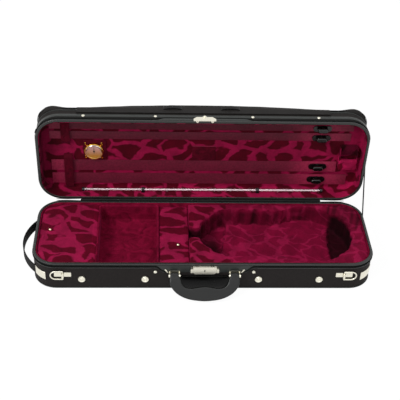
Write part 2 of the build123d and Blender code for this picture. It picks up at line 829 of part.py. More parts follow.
# suspension block whose hollow follows the plan of the instrument
with BuildPart() as cradle:
    extrude(
        inner_plan(shell_board, neck_box_right + fit_gap, half_length, block_gap),
        amount=cradle_top - shell_board,
    )
    with BuildSketch(Plane.XY.offset(inner_floor)) as hollow:
        with Locations((cavity_left + upper_bout_radius, violin_axis_y)):
            Circle(upper_bout_radius)
        with Locations((cavity_right - lower_bout_half_length, violin_axis_y)):
            Ellipse(lower_bout_half_length, lower_bout_half_width)
        waist_from = cavity_left + upper_bout_radius
        waist_to = cavity_right - lower_bout_half_length
        with Locations(((waist_from + waist_to) / 2, violin_axis_y)):
            Rectangle(waist_to - waist_from, 2 * waist_half_width)
    extrude(amount=base_height, mode=Mode.SUBTRACT)
    with BuildSketch(Plane.XY.offset(neck_notch_floor)):
        with Locations(((neck_box_right + waist_from) / 2, violin_axis_y)):
            Rectangle(waist_from - neck_box_right, neck_notch_width)
    extrude(amount=base_height, mode=Mode.SUBTRACT)
    # raised cushion under the body, with a deeper well at each end of it
    with BuildSketch(Plane.XY.offset(inner_floor)):
        with BuildLine():
            cushion_rear = violin_axis_y + lower_bout_half_width
            cushion_front = violin_axis_y - lower_bout_half_width
            Polyline(
                (cushion_right_ends, cushion_rear), (cushion_left_rear, cushion_rear),
                (cushion_left_front, cushion_front), (cushion_right_ends, cushion_front),
            )
            ThreePointArc(
                (cushion_right_ends, cushion_front), (cushion_right, violin_axis_y),
                (cushion_right_ends, cushion_rear),
            )
        make_face()
        add(hollow.sketch_local, mode=Mode.INTERSECT)
    extrude(amount=cushion_rise)

# ---- lid: shell, binding, outer trim ------------------------------------------------------------------
with BuildPart() as lid_shell:
    with BuildSketch(lid.offset(binding_height)):
        RectangleRounded(case_length, case_width, corner_radius)
    extrude(amount=lid_depth - binding_height)
    fillet(lid_shell.faces().sort_by(Axis.Y)[-1].edges(), lid_round)
    with BuildSketch(lid.offset(binding_height)):
        RectangleRounded(inner_length, inner_width, inner_radius)
    extrude(amount=lid_depth - binding_height - lid_board, mode=Mode.SUBTRACT)

with BuildPart() as lid_binding:
    with BuildSketch(lid):
        binding_ring()
    extrude(amount=binding_height)
    fillet(lid_binding.faces().sort_by(Axis.Y)[0].edges(), binding_round)

with BuildPart() as lid_valance:
    extrude(valance_outline(lid_front, binding_height, lid_valance_depth), amount=skin)

with BuildPart() as lid_zip:
    with BuildSketch(lid.offset(zip_tape_drop - zip_tape_width / 2)):
        RectangleRounded(case_length + skin, case_width + skin, corner_radius + skin / 2)
        RectangleRounded(case_length, case_width, corner_radius, mode=Mode.SUBTRACT)
        with Locations((0, -half_width)):
            Rectangle(2 * (valance_half_top + zip_tape_width), corner_radius, mode=Mode.SUBTRACT)
        with Locations((0, half_width)):
            Rectangle(hinge_length + zip_tape_width, corner_radius, mode=Mode.SUBTRACT)
    extrude(amount=zip_tape_width)
    # a slider parked at the left front corner
    slider_way = Vector(-cos(radians(lid_slider_angle)), -sin(radians(lid_slider_angle)), 0)
    slider_seat = Vector(-corner_x, -corner_y, zip_tape_drop) + slider_way * corner_radius
    slider_foot = lid.from_local_coords(slider_seat)
    with BuildSketch(Plane(origin=slider_foot, x_dir=(0, 1, 0), z_dir=(slider_way.X, 0, -slider_way.Y))):
        RectangleRounded(slider_width, slider_length, slider_width / 4)
    extrude(amount=slider_height + skin / 2)

lid_snap_spots = [(x, lid_snap_depth) for x in lid_snap_places]
with BuildPart() as lid_snaps:
    with BuildSketch(lid_front):
        with Locations(*lid_snap_spots):
            Circle(snap_radius)
    extrude(amount=snap_height)
    fillet(lid_snaps.faces().sort_by(Axis.Z)[-len(lid_snap_places):].edges(), snap_dome)

pocket_length = case_length - 2 * pocket_inset
pocket_width = case_width - 2 * pocket_inset
with BuildPart() as music_pocket:
    with BuildSketch(lid.offset(lid_depth)):
        RectangleRounded(pocket_length, pocket_width, pocket_corner)
    extrude(amount=pocket_thickness)
    fillet(music_pocket.faces().sort_by(Axis.Y)[-1].edges(), pocket_round)
    with BuildSketch(lid.offset(lid_depth)):
        pocket_wall = pocket_inset + pocket_cloth
        RectangleRounded(pocket_length - 2 * pocket_wall, pocket_width - 2 * pocket_wall, corner_radius)
    extrude(amount=pocket_thickness - pocket_cloth, mode=Mode.SUBTRACT)

# zip round the handle side of the pocket, from end to end of the flap
zip_start = lid_depth + pocket_zip_depth - pocket_zip_width / 2
with BuildPart() as pocket_zip:
    with BuildSketch(lid.offset(zip_start)):
        RectangleRounded(pocket_length + 2 * skin, pocket_width + 2 * skin, pocket_corner + skin)
        RectangleRounded(pocket_length, pocket_width, pocket_corner, mode=Mode.SUBTRACT)
        with Locations((0, half_width)):
            Rectangle(case_length, case_width, mode=Mode.SUBTRACT)
        with Locations((0, -half_width)):
            Rectangle(2 * flap_half_length, case_width / 2, mode=Mode.SUBTRACT)
    extrude(amount=pocket_zip_width)

lid_top_z = lid_mid_z + half_width
flap_back_y = lid_rim_y + lid_depth + pocket_thickness + fit_gap + flap_thickness / 2
flap_top_z = lid_top_z + fit_gap + flap_thickness / 2
with BuildPart() as pocket_flap:
    with BuildSketch(Plane(origin=(-flap_half_length, 0, 0), x_dir=(0, 1, 0), z_dir=(1, 0, 0))):
        with BuildLine() as flap_line:
            FilletPolyline(
                (lid_rim_y + flap_from, flap_top_z), (flap_back_y, flap_top_z),
                (flap_back_y, lid_top_z - flap_over), radius=flap_fold,
            )
        trace(line_width=flap_thickness)
    extrude(amount=2 * flap_half_length)

with BuildPart() as flap_loops:
    loop_start = (0, flap_back_y - flap_fold - loop_set_back, flap_top_z + flap_thickness / 2)
    with BuildSketch(Plane(origin=loop_start, x_dir=(1, 0, 0), z_dir=(0, -1, 0))):
        for x in (loop_left_x, loop_right_x):
            with Locations((x, 0)):
                Ellipse(loop_length / 2, loop_height)
                Ellipse(loop_length / 2 - loop_strap, loop_slit, mode=Mode.SUBTRACT)
        with Locations((0, -loop_height / 2)):
            Rectangle(case_length, loop_height, mode=Mode.SUBTRACT)
    extrude(amount=loop_width)

# ---- inside of the lid ---------------------------------------------------------------------------------
with BuildPart() as lid_lining:
    with BuildSketch(lid.offset(lining_edge)):
        RectangleRounded(inner_length - 2 * fit_gap, inner_width - 2 * fit_gap, inner_radius - fit_gap)
    extrude(amount=lid_depth - lid_board - lining_edge)
    with BuildSketch(lid.offset(lining_edge)):
        cover = fit_gap + wall_lining
        RectangleRounded(inner_length - 2 * cover, inner_width - 2 * cover, inner_radius - cover)
    extrude(amount=lid_floor - lining_edge, mode=Mode.SUBTRACT)

strips = zip(strip_rows, (narrow_strip, narrow_strip, wide_strip, wide_strip), strip_right_ends)
with BuildPart() as bow_strips:
    with BuildSketch(lid.offset(lid_floor - strip_thickness)):
        for row, width, end in strips:
            with Locations(((strip_left_end + end) / 2, half_width - row)):
                Rectangle(end - strip_left_end, width)
    extrude(amount=strip_thickness)

with BuildPart() as tip_covers:
    for x, low, high in tip_cover_places:
        floor_y = lid_rim_y + lid_floor - tip_cover_cloth / 2
        top_y = floor_y - tip_cover_rise
        with BuildSketch(Plane(origin=(x - tip_cover_width / 2, 0, 0), x_dir=(0, 1, 0), z_dir=(1, 0, 0))):
            with BuildLine():
                FilletPolyline(
                    (floor_y, lid_low_z + low), (top_y, lid_low_z + low + tip_cover_rise),
                    (top_y, lid_low_z + high - tip_cover_rise), (floor_y, lid_low_z + high),
                    radius=tip_cover_bend,
                )
            trace(line_width=tip_cover_cloth)
        extrude(amount=tip_cover_width)

with BuildPart() as label_patch:
    with BuildSketch(lid.offset(lid_floor - patch_thickness)):
        with Locations((patch_x, half_width - patch_row)):
            RectangleRounded(patch_width, patch_height, patch_thickness)
    extrude(amount=patch_thickness)

with BuildPart() as pouch:
    with BuildSketch(lid.offset(lid_floor - pouch_depth)):
        with Locations((pouch_x, half_width - pouch_row)):
            RectangleRounded(pouch_width, pouch_height, pouch_corner)
    extrude(amount=pouch_depth)
    with BuildSketch(lid.offset(lid_floor - pouch_depth + pouch_cloth)):
        with Locations((pouch_x, half_width - pouch_row)):
            RectangleRounded(
                pouch_width - 2 * pouch_cloth, pouch_height - 2 * pouch_cloth, pouch_corner - pouch_cloth
            )
    extrude(amount=pouch_depth - 2 * pouch_cloth, mode=Mode.SUBTRACT)
    # the mouth, above the front panel
    with BuildSketch(lid.offset(lid_floor - pouch_depth)):
        with Locations((pouch_x, half_width - pouch_row - pouch_panel / 2)):
            Rectangle(pouch_width - 2 * pouch_cloth, pouch_height - pouch_panel)
    extrude(amount=pouch_depth - pouch_cloth, mode=Mode.SUBTRACT)

# hygrometer
pad_top = lid_floor - pad_thickness
with BuildPart() as dial_pad:
    with BuildSketch(lid.offset(pad_top)):
        with Locations((dial_x, dial_y)):
            RectangleRounded(pad_size, pad_size, pad_corner)
    extrude(amount=pad_thickness)

with BuildPart() as dial_bezel:
    with BuildSketch(lid.offset(pad_top - bezel_height)):
        with Locations((dial_x, dial_y)):
            Circle(dial_radius + bezel_width)
            Circle(dial_radius, mode=Mode.SUBTRACT)
    extrude(amount=bezel_height)
    bezel_edges = dial_bezel.edges().filter_by(GeomType.CIRCLE).group_by(Axis.Y)[0]
    fillet(bezel_edges.sort_by(SortBy.LENGTH)[-1], bezel_round)
    with BuildSketch(lid.offset(pad_top - lug_height)):
        with Locations((dial_x, dial_y)):
            with PolarLocations(dial_radius + bezel_width + lug_out, 4, 45):
                RectangleRounded(lug_length, lug_width, lug_corner)
    extrude(amount=lug_height)
    with BuildSketch(lid.offset(pad_top - lug_pin_height)):
        with Locations((dial_x, dial_y)):
            with PolarLocations(dial_radius + bezel_width + lug_pin_out, 4, 45):
                Circle(lug_pin_radius)
    extrude(amount=lug_pin_height)

with BuildPart() as dial_face:
    with BuildSketch(lid.offset(pad_top - dial_thickness)):
        with Locations((dial_x, dial_y)):
            Circle(dial_radius - running_clearance)
    extrude(amount=dial_thickness)
    with BuildSketch(lid.offset(pad_top - dial_thickness - spindle_height)):
        with Locations((dial_x, dial_y)):
            Circle(spindle_radius)
    extrude(amount=spindle_height)

with BuildPart() as dial_needle:
    with BuildSketch(lid.offset(pad_top - dial_thickness - needle_gap - needle_thickness)):
        with Locations((dial_x, dial_y)):
            Circle(needle_hub)
        tip_y = dial_y - dial_radius + needle_short
        with BuildLine():
            Polyline(
                (dial_x - needle_width / 2, dial_y + needle_tail), (dial_x - needle_tip_width / 2, tip_y),
                (dial_x + needle_tip_width / 2, tip_y), (dial_x + needle_width / 2, dial_y + needle_tail),
                close=True,
            )
        make_face()
        with Locations((dial_x, dial_y)):
            Circle(spindle_radius + running_clearance, mode=Mode.SUBTRACT)
    extrude(amount=needle_thickness)

glass_base = pad_top - bezel_height
with BuildPart() as dial_glass:
    with BuildSketch(lid.offset(glass_base - glass_rise)):
        with Locations((dial_x, dial_y)):
            Circle(dial_radius - running_clearance)
    extrude(amount=glass_rise + glass_seat)
    fillet(dial_glass.edges().sort_by(Axis.Y)[0], glass_dome)
    with BuildSketch(lid.offset(glass_base - glass_rise + glass_wall)):
        with Locations((dial_x, dial_y)):
            Circle(dial_radius - glass_dome)
    extrude(amount=glass_rise + glass_seat, mode=Mode.SUBTRACT)

# string tube on the hinge side
tube_start = lid.from_local_coords((tube_left, half_width - tube_row, tube_depth))
tube_plane = Plane(origin=tube_start, x_dir=(0, 1, 0), z_dir=(1, 0, 0))
tube_length = tube_right - tube_left
with BuildPart() as string_tube:
    with BuildSketch(tube_plane.offset(tube_cap_length / 2)):
        Circle(tube_radius)
        Circle(tube_radius - tube_sheet, mode=Mode.SUBTRACT)
    extrude(amount=tube_length - tube_cap_length)

with BuildPart() as tube_fittings:
    for start in (0, tube_length - tube_cap_length):
        with BuildSketch(tube_plane.offset(start)):
            Circle(tube_radius + tube_cap_wall)
        extrude(amount=tube_cap_length)
    with BuildSketch(tube_plane.offset(tube_cap_length / 2)):
        Circle(tube_radius)
    extrude(amount=tube_length - tube_cap_length, mode=Mode.SUBTRACT)
    clip_foot = tube_row - shell_wall - wall_lining - fit_gap
    for x in clip_places:
        with BuildSketch(tube_plane.offset(x - tube_left - clip_length / 2)):
            Circle(tube_radius + clip_sheet)
            with Locations((0, clip_sheet / 2 - clip_foot)):
                Rectangle(2 * tube_radius + clip_shoe, clip_sheet)
            with Locations((0, -clip_foot / 2)):
                Rectangle(tube_radius, clip_foot)
            Circle(tube_radius + running_clearance, mode=Mode.SUBTRACT)
            with Locations((0, tube_radius + clip_sheet)):
                Rectangle(tube_radius, 2 * tube_radius, mode=Mode.SUBTRACT)
        extrude(amount=clip_length)

# bow spinners
spinner_bottom = lid_floor - strip_thickness
spinner_top = spinner_bottom - spinner_base_height
with BuildPart() as spinner_bases:
    spinner_spots = [(spinner_x, half_width - row) for row in spinner_rows]
    with BuildSketch(lid.offset(spinner_bottom - spinner_foot_height)):
        with Locations(*spinner_spots):
            SlotOverall(spinner_base_length, spinner_base_width)
    extrude(amount=spinner_foot_height)
    with BuildSketch(lid.offset(spinner_top)):
        with Locations(*spinner_spots):
            Circle(spinner_post_radius)
    extrude(amount=spinner_base_height)
    with BuildSketch(lid.offset(spinner_top - spinner_pin_length)):
        with Locations(*spinner_spots):
            Circle(spinner_pin)
    extrude(amount=spinner_pin_length)


def bow_spinner(row):
    """Turn button that keeps a bow in its rest."""
    with BuildPart() as spinner:
        with BuildSketch(lid.offset(spinner_top - fit_gap - spinner_thickness)):
            with Locations((spinner_x, half_width - row)):
                SlotOverall(spinner_length, spinner_width)
        extrude(amount=spinner_thickness)
        fillet(spinner.faces().sort_by(Axis.Y)[0].edges(), spinner_round)
        with BuildSketch(lid.offset(spinner_top - spinner_pin_length - fit_gap)):
            with Locations((spinner_x, half_width - row)):
                Circle(spinner_pin + running_clearance)
        extrude(amount=spinner_pin_length, mode=Mode.SUBTRACT)
    return spinner


spinners = [bow_spinner(row) for row in spinner_rows]

# ---- lid stay ---------------------------------------------------------------------------------------------
stay_outside = half_length + stay_off_wall + stay_thickness
stay_base_y = half_width - stay_base_set_back
stay_base_turn = stay_base_y - stay_button - corner_y
stay_base_wall = corner_x + (corner_radius**2 - stay_base_turn**2) ** 0.5
stay_ends = [
    (stay_base_y, base_height - stay_base_drop), (lid_rim_y + stay_lid_depth, lid_low_z + stay_lid_row)
]
with BuildPart() as lid_stay:
    with BuildSketch(Plane.YZ.offset(stay_outside)):
        with BuildLine():
            Line(*stay_ends)
        trace(line_width=stay_width)
        with Locations(*stay_ends):
            Circle(stay_width / 2)
    extrude(amount=-stay_thickness)
    for spot, wall in zip(stay_ends, (stay_base_wall, half_length)):
        with BuildSketch(Plane.YZ.offset(wall)):
            with Locations(spot):
                Circle(stay_button)
        extrude(amount=stay_outside + stay_thickness - wall)

pieces = {
    "base_shell": base_shell,
    "base_binding": base_binding,
    "base_valance": base_valance,
    "base_zip": base_zip,
    "zip_sliders": zip_sliders,
    "front_feet": front_feet,
    "base_snaps": base_snaps,
    "hinge_base_leaf": hinge_base_leaf,
    "hinge_lid_leaf": hinge_lid_leaf,
    "hinge_pin": hinge_pin,
    "handle_grip": handle_grip,
    "handle_brackets": handle_brackets,
    "handle_axles": handle_axles,
    "lock_case": lock_case,
    "lock_thumb_left": lock_thumb_left,
    "lock_thumb_right": lock_thumb_right,
    "key_barrel": key_barrel,
    "hasp": hasp,
    "ring_saddles": ring_saddles,
    "strap_ring_left": strap_ring_left,
    "strap_ring_right": strap_ring_right,
    "end_strap": end_strap,
    "corner_plates": corner_plates,
    "base_lining": base_lining,
    "left_box": left_box,
    "left_box_lid": left_box_lid,
    "left_box_knob": left_box_knob,
    "scroll_tray": scroll_tray,
    "neck_box": neck_box,
    "neck_box_lid": neck_box_lid,
    "neck_box_knob": neck_box_knob,
    "cradle": cradle,
    "lid_shell": lid_shell,
    "lid_binding": lid_binding,
    "lid_valance": lid_valance,
    "lid_zip": lid_zip,
    "lid_snaps": lid_snaps,
    "music_pocket": music_pocket,
    "pocket_zip": pocket_zip,
    "pocket_flap": pocket_flap,
    "flap_loops": flap_loops,
    "lid_lining": lid_lining,
    "bow_strips": bow_strips,
    "tip_covers": tip_covers,
    "label_patch": label_patch,
    "pouch": pouch,
    "dial_pad": dial_pad,
    "dial_bezel": dial_bezel,
    "dial_face": dial_face,
    "dial_needle": dial_needle,
    "dial_glass": dial_glass,
    "string_tube": string_tube,
    "tube_fittings": tube_fittings,
    "spinner_bases": spinner_bases,
    "bow_spinner_1": spinners[0],
    "bow_spinner_2": spinners[1],
    "bow_spinner_3": spinners[2],
    "bow_spinner_4": spinners[3],
    "lid_stay": lid_stay,
}
for name, piece in pieces.items():
    piece.part.label = name
    export_step(piece.part, f"parts/{name}.step")
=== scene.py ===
"""Looks of an oblong violin case that stands open: canvas, leather, velvet, satin, nickel and brass."""
import math

import bmesh
import bpy
from mathutils import Matrix, Vector, noise


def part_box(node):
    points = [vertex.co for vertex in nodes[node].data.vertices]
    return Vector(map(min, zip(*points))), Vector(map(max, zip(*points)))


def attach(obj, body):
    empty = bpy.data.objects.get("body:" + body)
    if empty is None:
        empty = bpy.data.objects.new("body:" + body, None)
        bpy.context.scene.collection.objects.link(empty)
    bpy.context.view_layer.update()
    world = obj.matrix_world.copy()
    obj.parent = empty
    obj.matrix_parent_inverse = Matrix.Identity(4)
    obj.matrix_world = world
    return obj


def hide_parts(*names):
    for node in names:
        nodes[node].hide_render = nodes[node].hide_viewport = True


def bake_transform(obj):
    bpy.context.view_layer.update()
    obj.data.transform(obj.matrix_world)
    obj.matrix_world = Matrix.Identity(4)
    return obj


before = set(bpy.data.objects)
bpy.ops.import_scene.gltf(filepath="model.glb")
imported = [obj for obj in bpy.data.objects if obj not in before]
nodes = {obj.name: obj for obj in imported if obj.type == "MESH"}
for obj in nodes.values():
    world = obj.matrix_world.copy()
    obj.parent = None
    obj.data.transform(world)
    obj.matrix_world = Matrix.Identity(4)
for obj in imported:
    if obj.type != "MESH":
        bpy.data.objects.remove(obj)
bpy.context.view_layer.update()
MM = 0.001


def shown(name, data):
    """New object of some data, in the scene."""
    made = bpy.data.objects.new(name, data)
    bpy.context.scene.collection.objects.link(made)
    return made


# ---- camera: in front of the case and above it, a little to the left of its middle ----
lens = bpy.data.cameras.new("camera")
lens.sensor_width = 36
lens.lens = 81.64
lens.clip_end = 20
camera = shown("camera", lens)
right = Vector((0.99870507, -0.03590028, 0.03604649))
up = Vector((-0.00580026, 0.62357172, 0.78174463))
forward = Vector((0.05054243, 0.78094141, -0.62255601))
turn = Matrix((right, up, -forward)).transposed().to_4x4()
camera.matrix_world = Matrix.Translation((-0.119847, -1.680773, 1.515676)) @ turn
bpy.context.scene.camera = camera

# ---- places on the case ----
wall_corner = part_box("base_shell")[1]
lid_low, lid_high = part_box("lid_binding")
lid_rim = lid_low.y
lid_middle = (lid_low.z + lid_high.z) / 2
# from the plan of the closed lid, with its depth from the rim as height, to the open lid
OPEN_LID = Matrix(((1, 0, 0, 0), (0, 0, 1, lid_rim), (0, -1, 0, lid_middle), (0, 0, 0, 1)))
# from x, height on the front wall and distance off it, to the front wall of the base
FRONT_WALL = Matrix(((1, 0, 0, 0), (0, 0, -1, -wall_corner.y), (0, 1, 0, 0), (0, 0, 0, 1)))
# from here on in millimetres
HALF_LENGTH, HALF_WIDTH, CORNER_RADIUS = wall_corner.x / MM, wall_corner.y / MM, 56
LID_MIDDLE = lid_middle / MM
POCKET_DEPTH = 46.0


# ---- materials ----
def linear(code, alpha=1.0):
    """Linear colour of an sRGB hex code."""
    parts = [int(code[k:k + 2], 16) / 255 for k in (0, 2, 4)]
    return (*[p / 12.92 if p <= 0.04045 else ((p + 0.055) / 1.055) ** 2.4 for p in parts], alpha)


def add(tree, kind, values=None, links=None, **settings):
    """Adds one shader node with its settings, its socket values and its links."""
    made = tree.nodes.new("ShaderNode" + kind)
    for key, value in settings.items():
        setattr(made, key, value)
    for key, value in (values or {}).items():
        made.inputs[key].default_value = value
    for key, source in (links or {}).items():
        tree.links.new(source, made.inputs[key])
    return made


def start(name, code, roughness, **sockets):
    """New material with its plain shader, and the place that its patterns read."""
    made = bpy.data.materials.new(name)
    made.use_nodes = True
    tree = made.node_tree
    shader = tree.nodes["Principled BSDF"]
    shader.inputs["Base Color"].default_value = linear(code)
    shader.inputs["Roughness"].default_value = roughness
    for key, value in sockets.items():
        shader.inputs[key.replace("_", " ")].default_value = value
    return made, tree, shader, add(tree, "TexCoord").outputs["Object"]


def every(size):
    """Scale of a pattern whose grains, clouds or marks are so many millimetres wide."""
    return 1 / (size * MM)


def ranged(low, high, from_low=0.3, from_high=0.7):
    """Limits that stretch the middle of a pattern to a range."""
    return {"From Min": from_low, "From Max": from_high, "To Min": low, "To Max": high}


def feed(tree, shader, **sources):
    """Links patterns to the sockets of the plain shader."""
    for key, source in sources.items():
        tree.links.new(source, shader.inputs[key.replace("_", " ")])


VELVET = dict(Sheen_Weight=0.22, Sheen_Roughness=0.4, Specular_IOR_Level=0.1)
PILE_GRAIN = 1.43  # tufts of the pile, drawn about five times as coarse as real, so that they show


def pile(tree, shader, place, colour, height, painted=False):
    """Short pile of a velvet: fine grain in its colour and its bump, and the painted light and shade of the
    cloth, in its colour and its sheen.
    """
    tufts = add(tree, "TexNoise", {"Scale": every(PILE_GRAIN), "Detail": 3.0}, {"Vector": place})
    grain = tufts.outputs["Fac"]
    shade = add(tree, "MapRange", ranged(0.8, 1.15), {"Value": grain}).outputs[0]
    if painted:
        # painted light and shade read from the cloth: it scales the colour and the sheen
        painted_shade = add(tree, "Attribute", attribute_name="shade").outputs["Fac"]
        shade = add(tree, "Math", {}, {0: shade, 1: painted_shade}, operation="MULTIPLY").outputs[0]
        sheen = add(tree, "Math", {1: 0.2}, {0: painted_shade}, operation="MULTIPLY").outputs[0]
        feed(tree, shader, Sheen_Weight=sheen)
    tinted = add(tree, "VectorMath", {}, {0: colour, "Scale": shade}, operation="SCALE").outputs[0]
    summed = add(tree, "Math", {1: 0.3}, {0: grain, 2: height}, operation="MULTIPLY_ADD").outputs[0]
    bump = add(tree, "Bump", {"Strength": 0.4, "Distance": 0.0012}, {"Height": summed}).outputs[0]
    feed(tree, shader, Base_Color=tinted, Normal=bump)


def pressed_velvet(name, bright, dark, cell, net, turn=(0.5, 0.5, 0.0)):
    """Cotton velvet with a pressed pattern: a net of standing pile round lower islands, cell metres apart."""
    made, tree, shader, place = start(name, bright, 0.85, Sheen_Tint=linear("D83C7C"), **VELVET)
    turned = add(tree, "Mapping", {"Rotation": turn, "Scale": (0.8, 1.0, 1.0)}, {"Vector": place}).outputs[0]
    moved = turned
    for share, reach in ((0.7, 1.5), (2.6, 0.3)):
        drift = add(tree, "TexNoise", {"Scale": share / cell, "Detail": 1.0}, {"Vector": turned})
        either_way = add(tree, "VectorMath", {1: (0.5, 0.5, 0.5)}, {0: drift.outputs["Color"]},
                         operation="SUBTRACT")
        shift = add(tree, "VectorMath", {"Scale": reach * cell}, {0: either_way.outputs[0]},
                    operation="SCALE")
        moved = add(tree, "VectorMath", {}, {0: moved, 1: shift.outputs[0]}, operation="ADD").outputs[0]
    edges = add(tree, "TexVoronoi", {"Scale": 1 / cell, "Randomness": 0.9}, {"Vector": moved},
                feature="DISTANCE_TO_EDGE", voronoi_dimensions="2D")
    vary = add(tree, "TexNoise", {"Scale": 0.6 / cell, "Detail": 1.0}, {"Vector": place}).outputs["Fac"]
    offset = add(tree, "MapRange", ranged(0.06, -0.12), {"Value": vary}).outputs[0]
    level = add(tree, "Math", {}, {0: edges.outputs["Distance"], 1: offset}, operation="ADD").outputs[0]
    island = add(tree, "MapRange", ranged(0.0, 1.0, net - 0.045, net + 0.045), {"Value": level},
                 interpolation_type="SMOOTHSTEP").outputs[0]
    cloud = add(tree, "TexNoise", {"Scale": every(29.4), "Detail": 5.0, "Distortion": 0.7},
                {"Vector": place}).outputs["Fac"]
    base = add(tree, "Mix", {"A": linear(bright), "B": linear(dark)}, {0: island}, data_type="RGBA")
    tone = add(tree, "MapRange", ranged(0.75, 1.25), {"Value": cloud}).outputs[0]
    colour = add(tree, "VectorMath", {}, {0: base.outputs["Result"], "Scale": tone},
                 operation="SCALE").outputs[0]
    lower = add(tree, "Math", {1: -1.0}, {0: island}, operation="MULTIPLY").outputs[0]
    pile(tree, shader, place, colour, lower, painted=True)
    return made


def crushed_velvet(name, bright, dark, size):
    """Plain velvet whose pile lies in all directions, in soft swirls of light and dark, size metres wide."""
    made, tree, shader, place = start(name, bright, 0.85, Sheen_Tint=linear("D83C7C"), **VELVET)
    swirl = add(tree, "TexNoise", {"Scale": 1 / size, "Detail": 6.0, "Roughness": 0.6, "Distortion": 1.4},
                {"Vector": place}).outputs["Fac"]
    part = add(tree, "MapRange", ranged(0.0, 1.0, 0.34, 0.66), {"Value": swirl}).outputs[0]
    base = add(tree, "Mix", {"A": linear(dark), "B": linear(bright)}, {0: part}, data_type="RGBA")
    pile(tree, shader, place, base.outputs["Result"], swirl)
    return made


def woven(name, code, pitch, roughness=0.75, depth=0.0003, painted=False, **sockets):
    """Plain weave: crossed threads pitch metres apart, drawn a little coarser than real so that they show."""
    made, tree, shader, place = start(name, code, roughness, **sockets)
    threads = []
    for direction in ("X", "Y", "Z"):
        wave = add(tree, "TexWave", {"Scale": math.pi / 20 / pitch, "Distortion": 0.4, "Detail": 1.0},
                   {"Vector": place}, bands_direction=direction)
        threads.append(wave.outputs["Fac"])
    first = add(tree, "Math", {}, {0: threads[0], 1: threads[1]}, operation="MAXIMUM")
    cloth = add(tree, "Math", {}, {0: first.outputs[0], 1: threads[2]}, operation="MULTIPLY")
    slub = add(tree, "TexNoise", {"Scale": every(3.85), "Detail": 4.0}, {"Vector": place}).outputs["Fac"]
    shade = add(tree, "MapRange", ranged(0.78, 1.22), {"Value": slub}).outputs[0]
    if painted:
        # painted light and shade read from the cloth: it scales the colour
        painted_shade = add(tree, "Attribute", attribute_name="shade").outputs["Fac"]
        shade = add(tree, "Math", {}, {0: shade, 1: painted_shade}, operation="MULTIPLY").outputs[0]
    tinted = add(tree, "VectorMath", {0: linear(code)[:3]}, {"Scale": shade}, operation="SCALE").outputs[0]
    bump = add(tree, "Bump", {"Strength": 0.5, "Distance": depth}, {"Height": cloth.outputs[0]}).outputs[0]
    feed(tree, shader, Base_Color=tinted, Normal=bump)
    return made


def leather(name, code, roughness, grain=0.0016, strength=0.25, gleam=0.4):
    """Finished leather: pebbles grain metres wide, a little worn and paler in places."""
    made, tree, shader, place = start(name, code, roughness, Specular_IOR_Level=gleam)
    pebbles = add(tree, "TexVoronoi", {"Scale": 1 / grain}, {"Vector": place}, feature="SMOOTH_F1")
    cloud = add(tree, "TexNoise", {"Scale": every(22.2), "Detail": 4.0}, {"Vector": place}).outputs["Fac"]
    shade = add(tree, "MapRange", ranged(0.86, 1.16), {"Value": cloud}).outputs[0]
    tinted = add(tree, "VectorMath", {0: linear(code)[:3]}, {"Scale": shade}, operation="SCALE").outputs[0]
    gloss = add(tree, "MapRange", ranged(roughness - 0.06, roughness + 0.08), {"Value": cloud}).outputs[0]
    bump = add(tree, "Bump", {"Strength": strength, "Distance": 0.0004},
               {"Height": pebbles.outputs["Distance"]}).outputs[0]
    feed(tree, shader, Base_Color=tinted, Roughness=gloss, Normal=bump)
    return made


def metal(name, code, roughness):
    """Polished plated metal with faint wiping marks in its gloss."""
    made, tree, shader, place = start(name, code, roughness, Metallic=1.0)
    marks = add(tree, "TexNoise", {"Scale": every(5.56), "Detail": 5.0}, {"Vector": place}).outputs["Fac"]
    gloss = add(tree, "MapRange", ranged(roughness - 0.02, roughness + 0.02), {"Value": marks}).outputs[0]
    feed(tree, shader, Roughness=gloss)
    return made


def moulded(name, code, roughness, **sockets):
    """Smooth moulded or enamelled surface with a very fine texture, drawn coarse enough to show."""
    made, tree, shader, place = start(name, code, roughness, **sockets)
    texture = add(tree, "TexNoise", {"Scale": every(1.43), "Detail": 3.0}, {"Vector": place}).outputs["Fac"]
    gloss = add(tree, "MapRange", ranged(roughness - 0.05, roughness + 0.08), {"Value": texture}).outputs[0]
    bump = add(tree, "Bump", {"Strength": 0.12, "Distance": 0.0002}, {"Height": texture}).outputs[0]
    feed(tree, shader, Roughness=gloss, Normal=bump)
    return made


# velvet pressed with a net of standing pile: gives the bold two-tone pattern of the box lids
base_velvet = pressed_velvet("crimson_pressed_velvet", "90123E", "580019", 0.038, 0.13)
# the same velvet upright in the lid, its pattern turned, and its islands painted darker for the shade in the
# lid
lid_velvet_shaded = pressed_velvet("crimson_pressed_velvet_shaded_for_the_lid", "8E0E3C", "4C0012", 0.042, 0.12,
                            turn=(math.pi / 2 + 0.4, 0.4, 0.0))
# the same velvet stretched over the foam of the cradle: a fainter net, and a painted shade that darkens its
# wells, walls and folds and lights its fold tops
cradle_velvet = pressed_velvet("crimson_velvet_of_the_cradle", "90123E", "78062E", 0.034, 0.06)
# velvet with its pile brushed every way: soft cloudy reds without a pattern
plain_velvet = crushed_velvet("crimson_crushed_velvet", "8A0A34", "5A001C", 0.03)
# short dark pile of the covers, the patch and the pad in the lid
dark_velvet = crushed_velvet("dark_crushed_velvet", "56021A", "3A000E", 0.02)
# woven satin ribbon: smoother and cooler than the velvet round it, and painted paler where light falls on it
satin = woven("wine_satin_ribbon", "5E1128", 0.0011, 0.55, 0.00012, painted=True, Specular_IOR_Level=0.25)
# plain woven nylon over the boards: nearly black with a fine matt weave
shell_cloth = woven("black_nylon_canvas", "1C1817", 0.0012, Specular_IOR_Level=0.2)
# the same nylon, softer and a shade paler where it hangs loose as the pocket and its flap
pocket_cloth = woven("black_pocket_canvas", "201E1D", 0.0014, Specular_IOR_Level=0.2)
# tight twill of the zip tapes, a shade darker than the canvas
zip_tape = woven("black_zip_tape", "050706", 0.001, Specular_IOR_Level=0.15)
# ribbed polypropylene webbing of the straps: deeper ribs and a faint gloss
webbing = woven("black_webbing", "0A0A0A", 0.0018, depth=0.0006, Specular_IOR_Level=0.25)
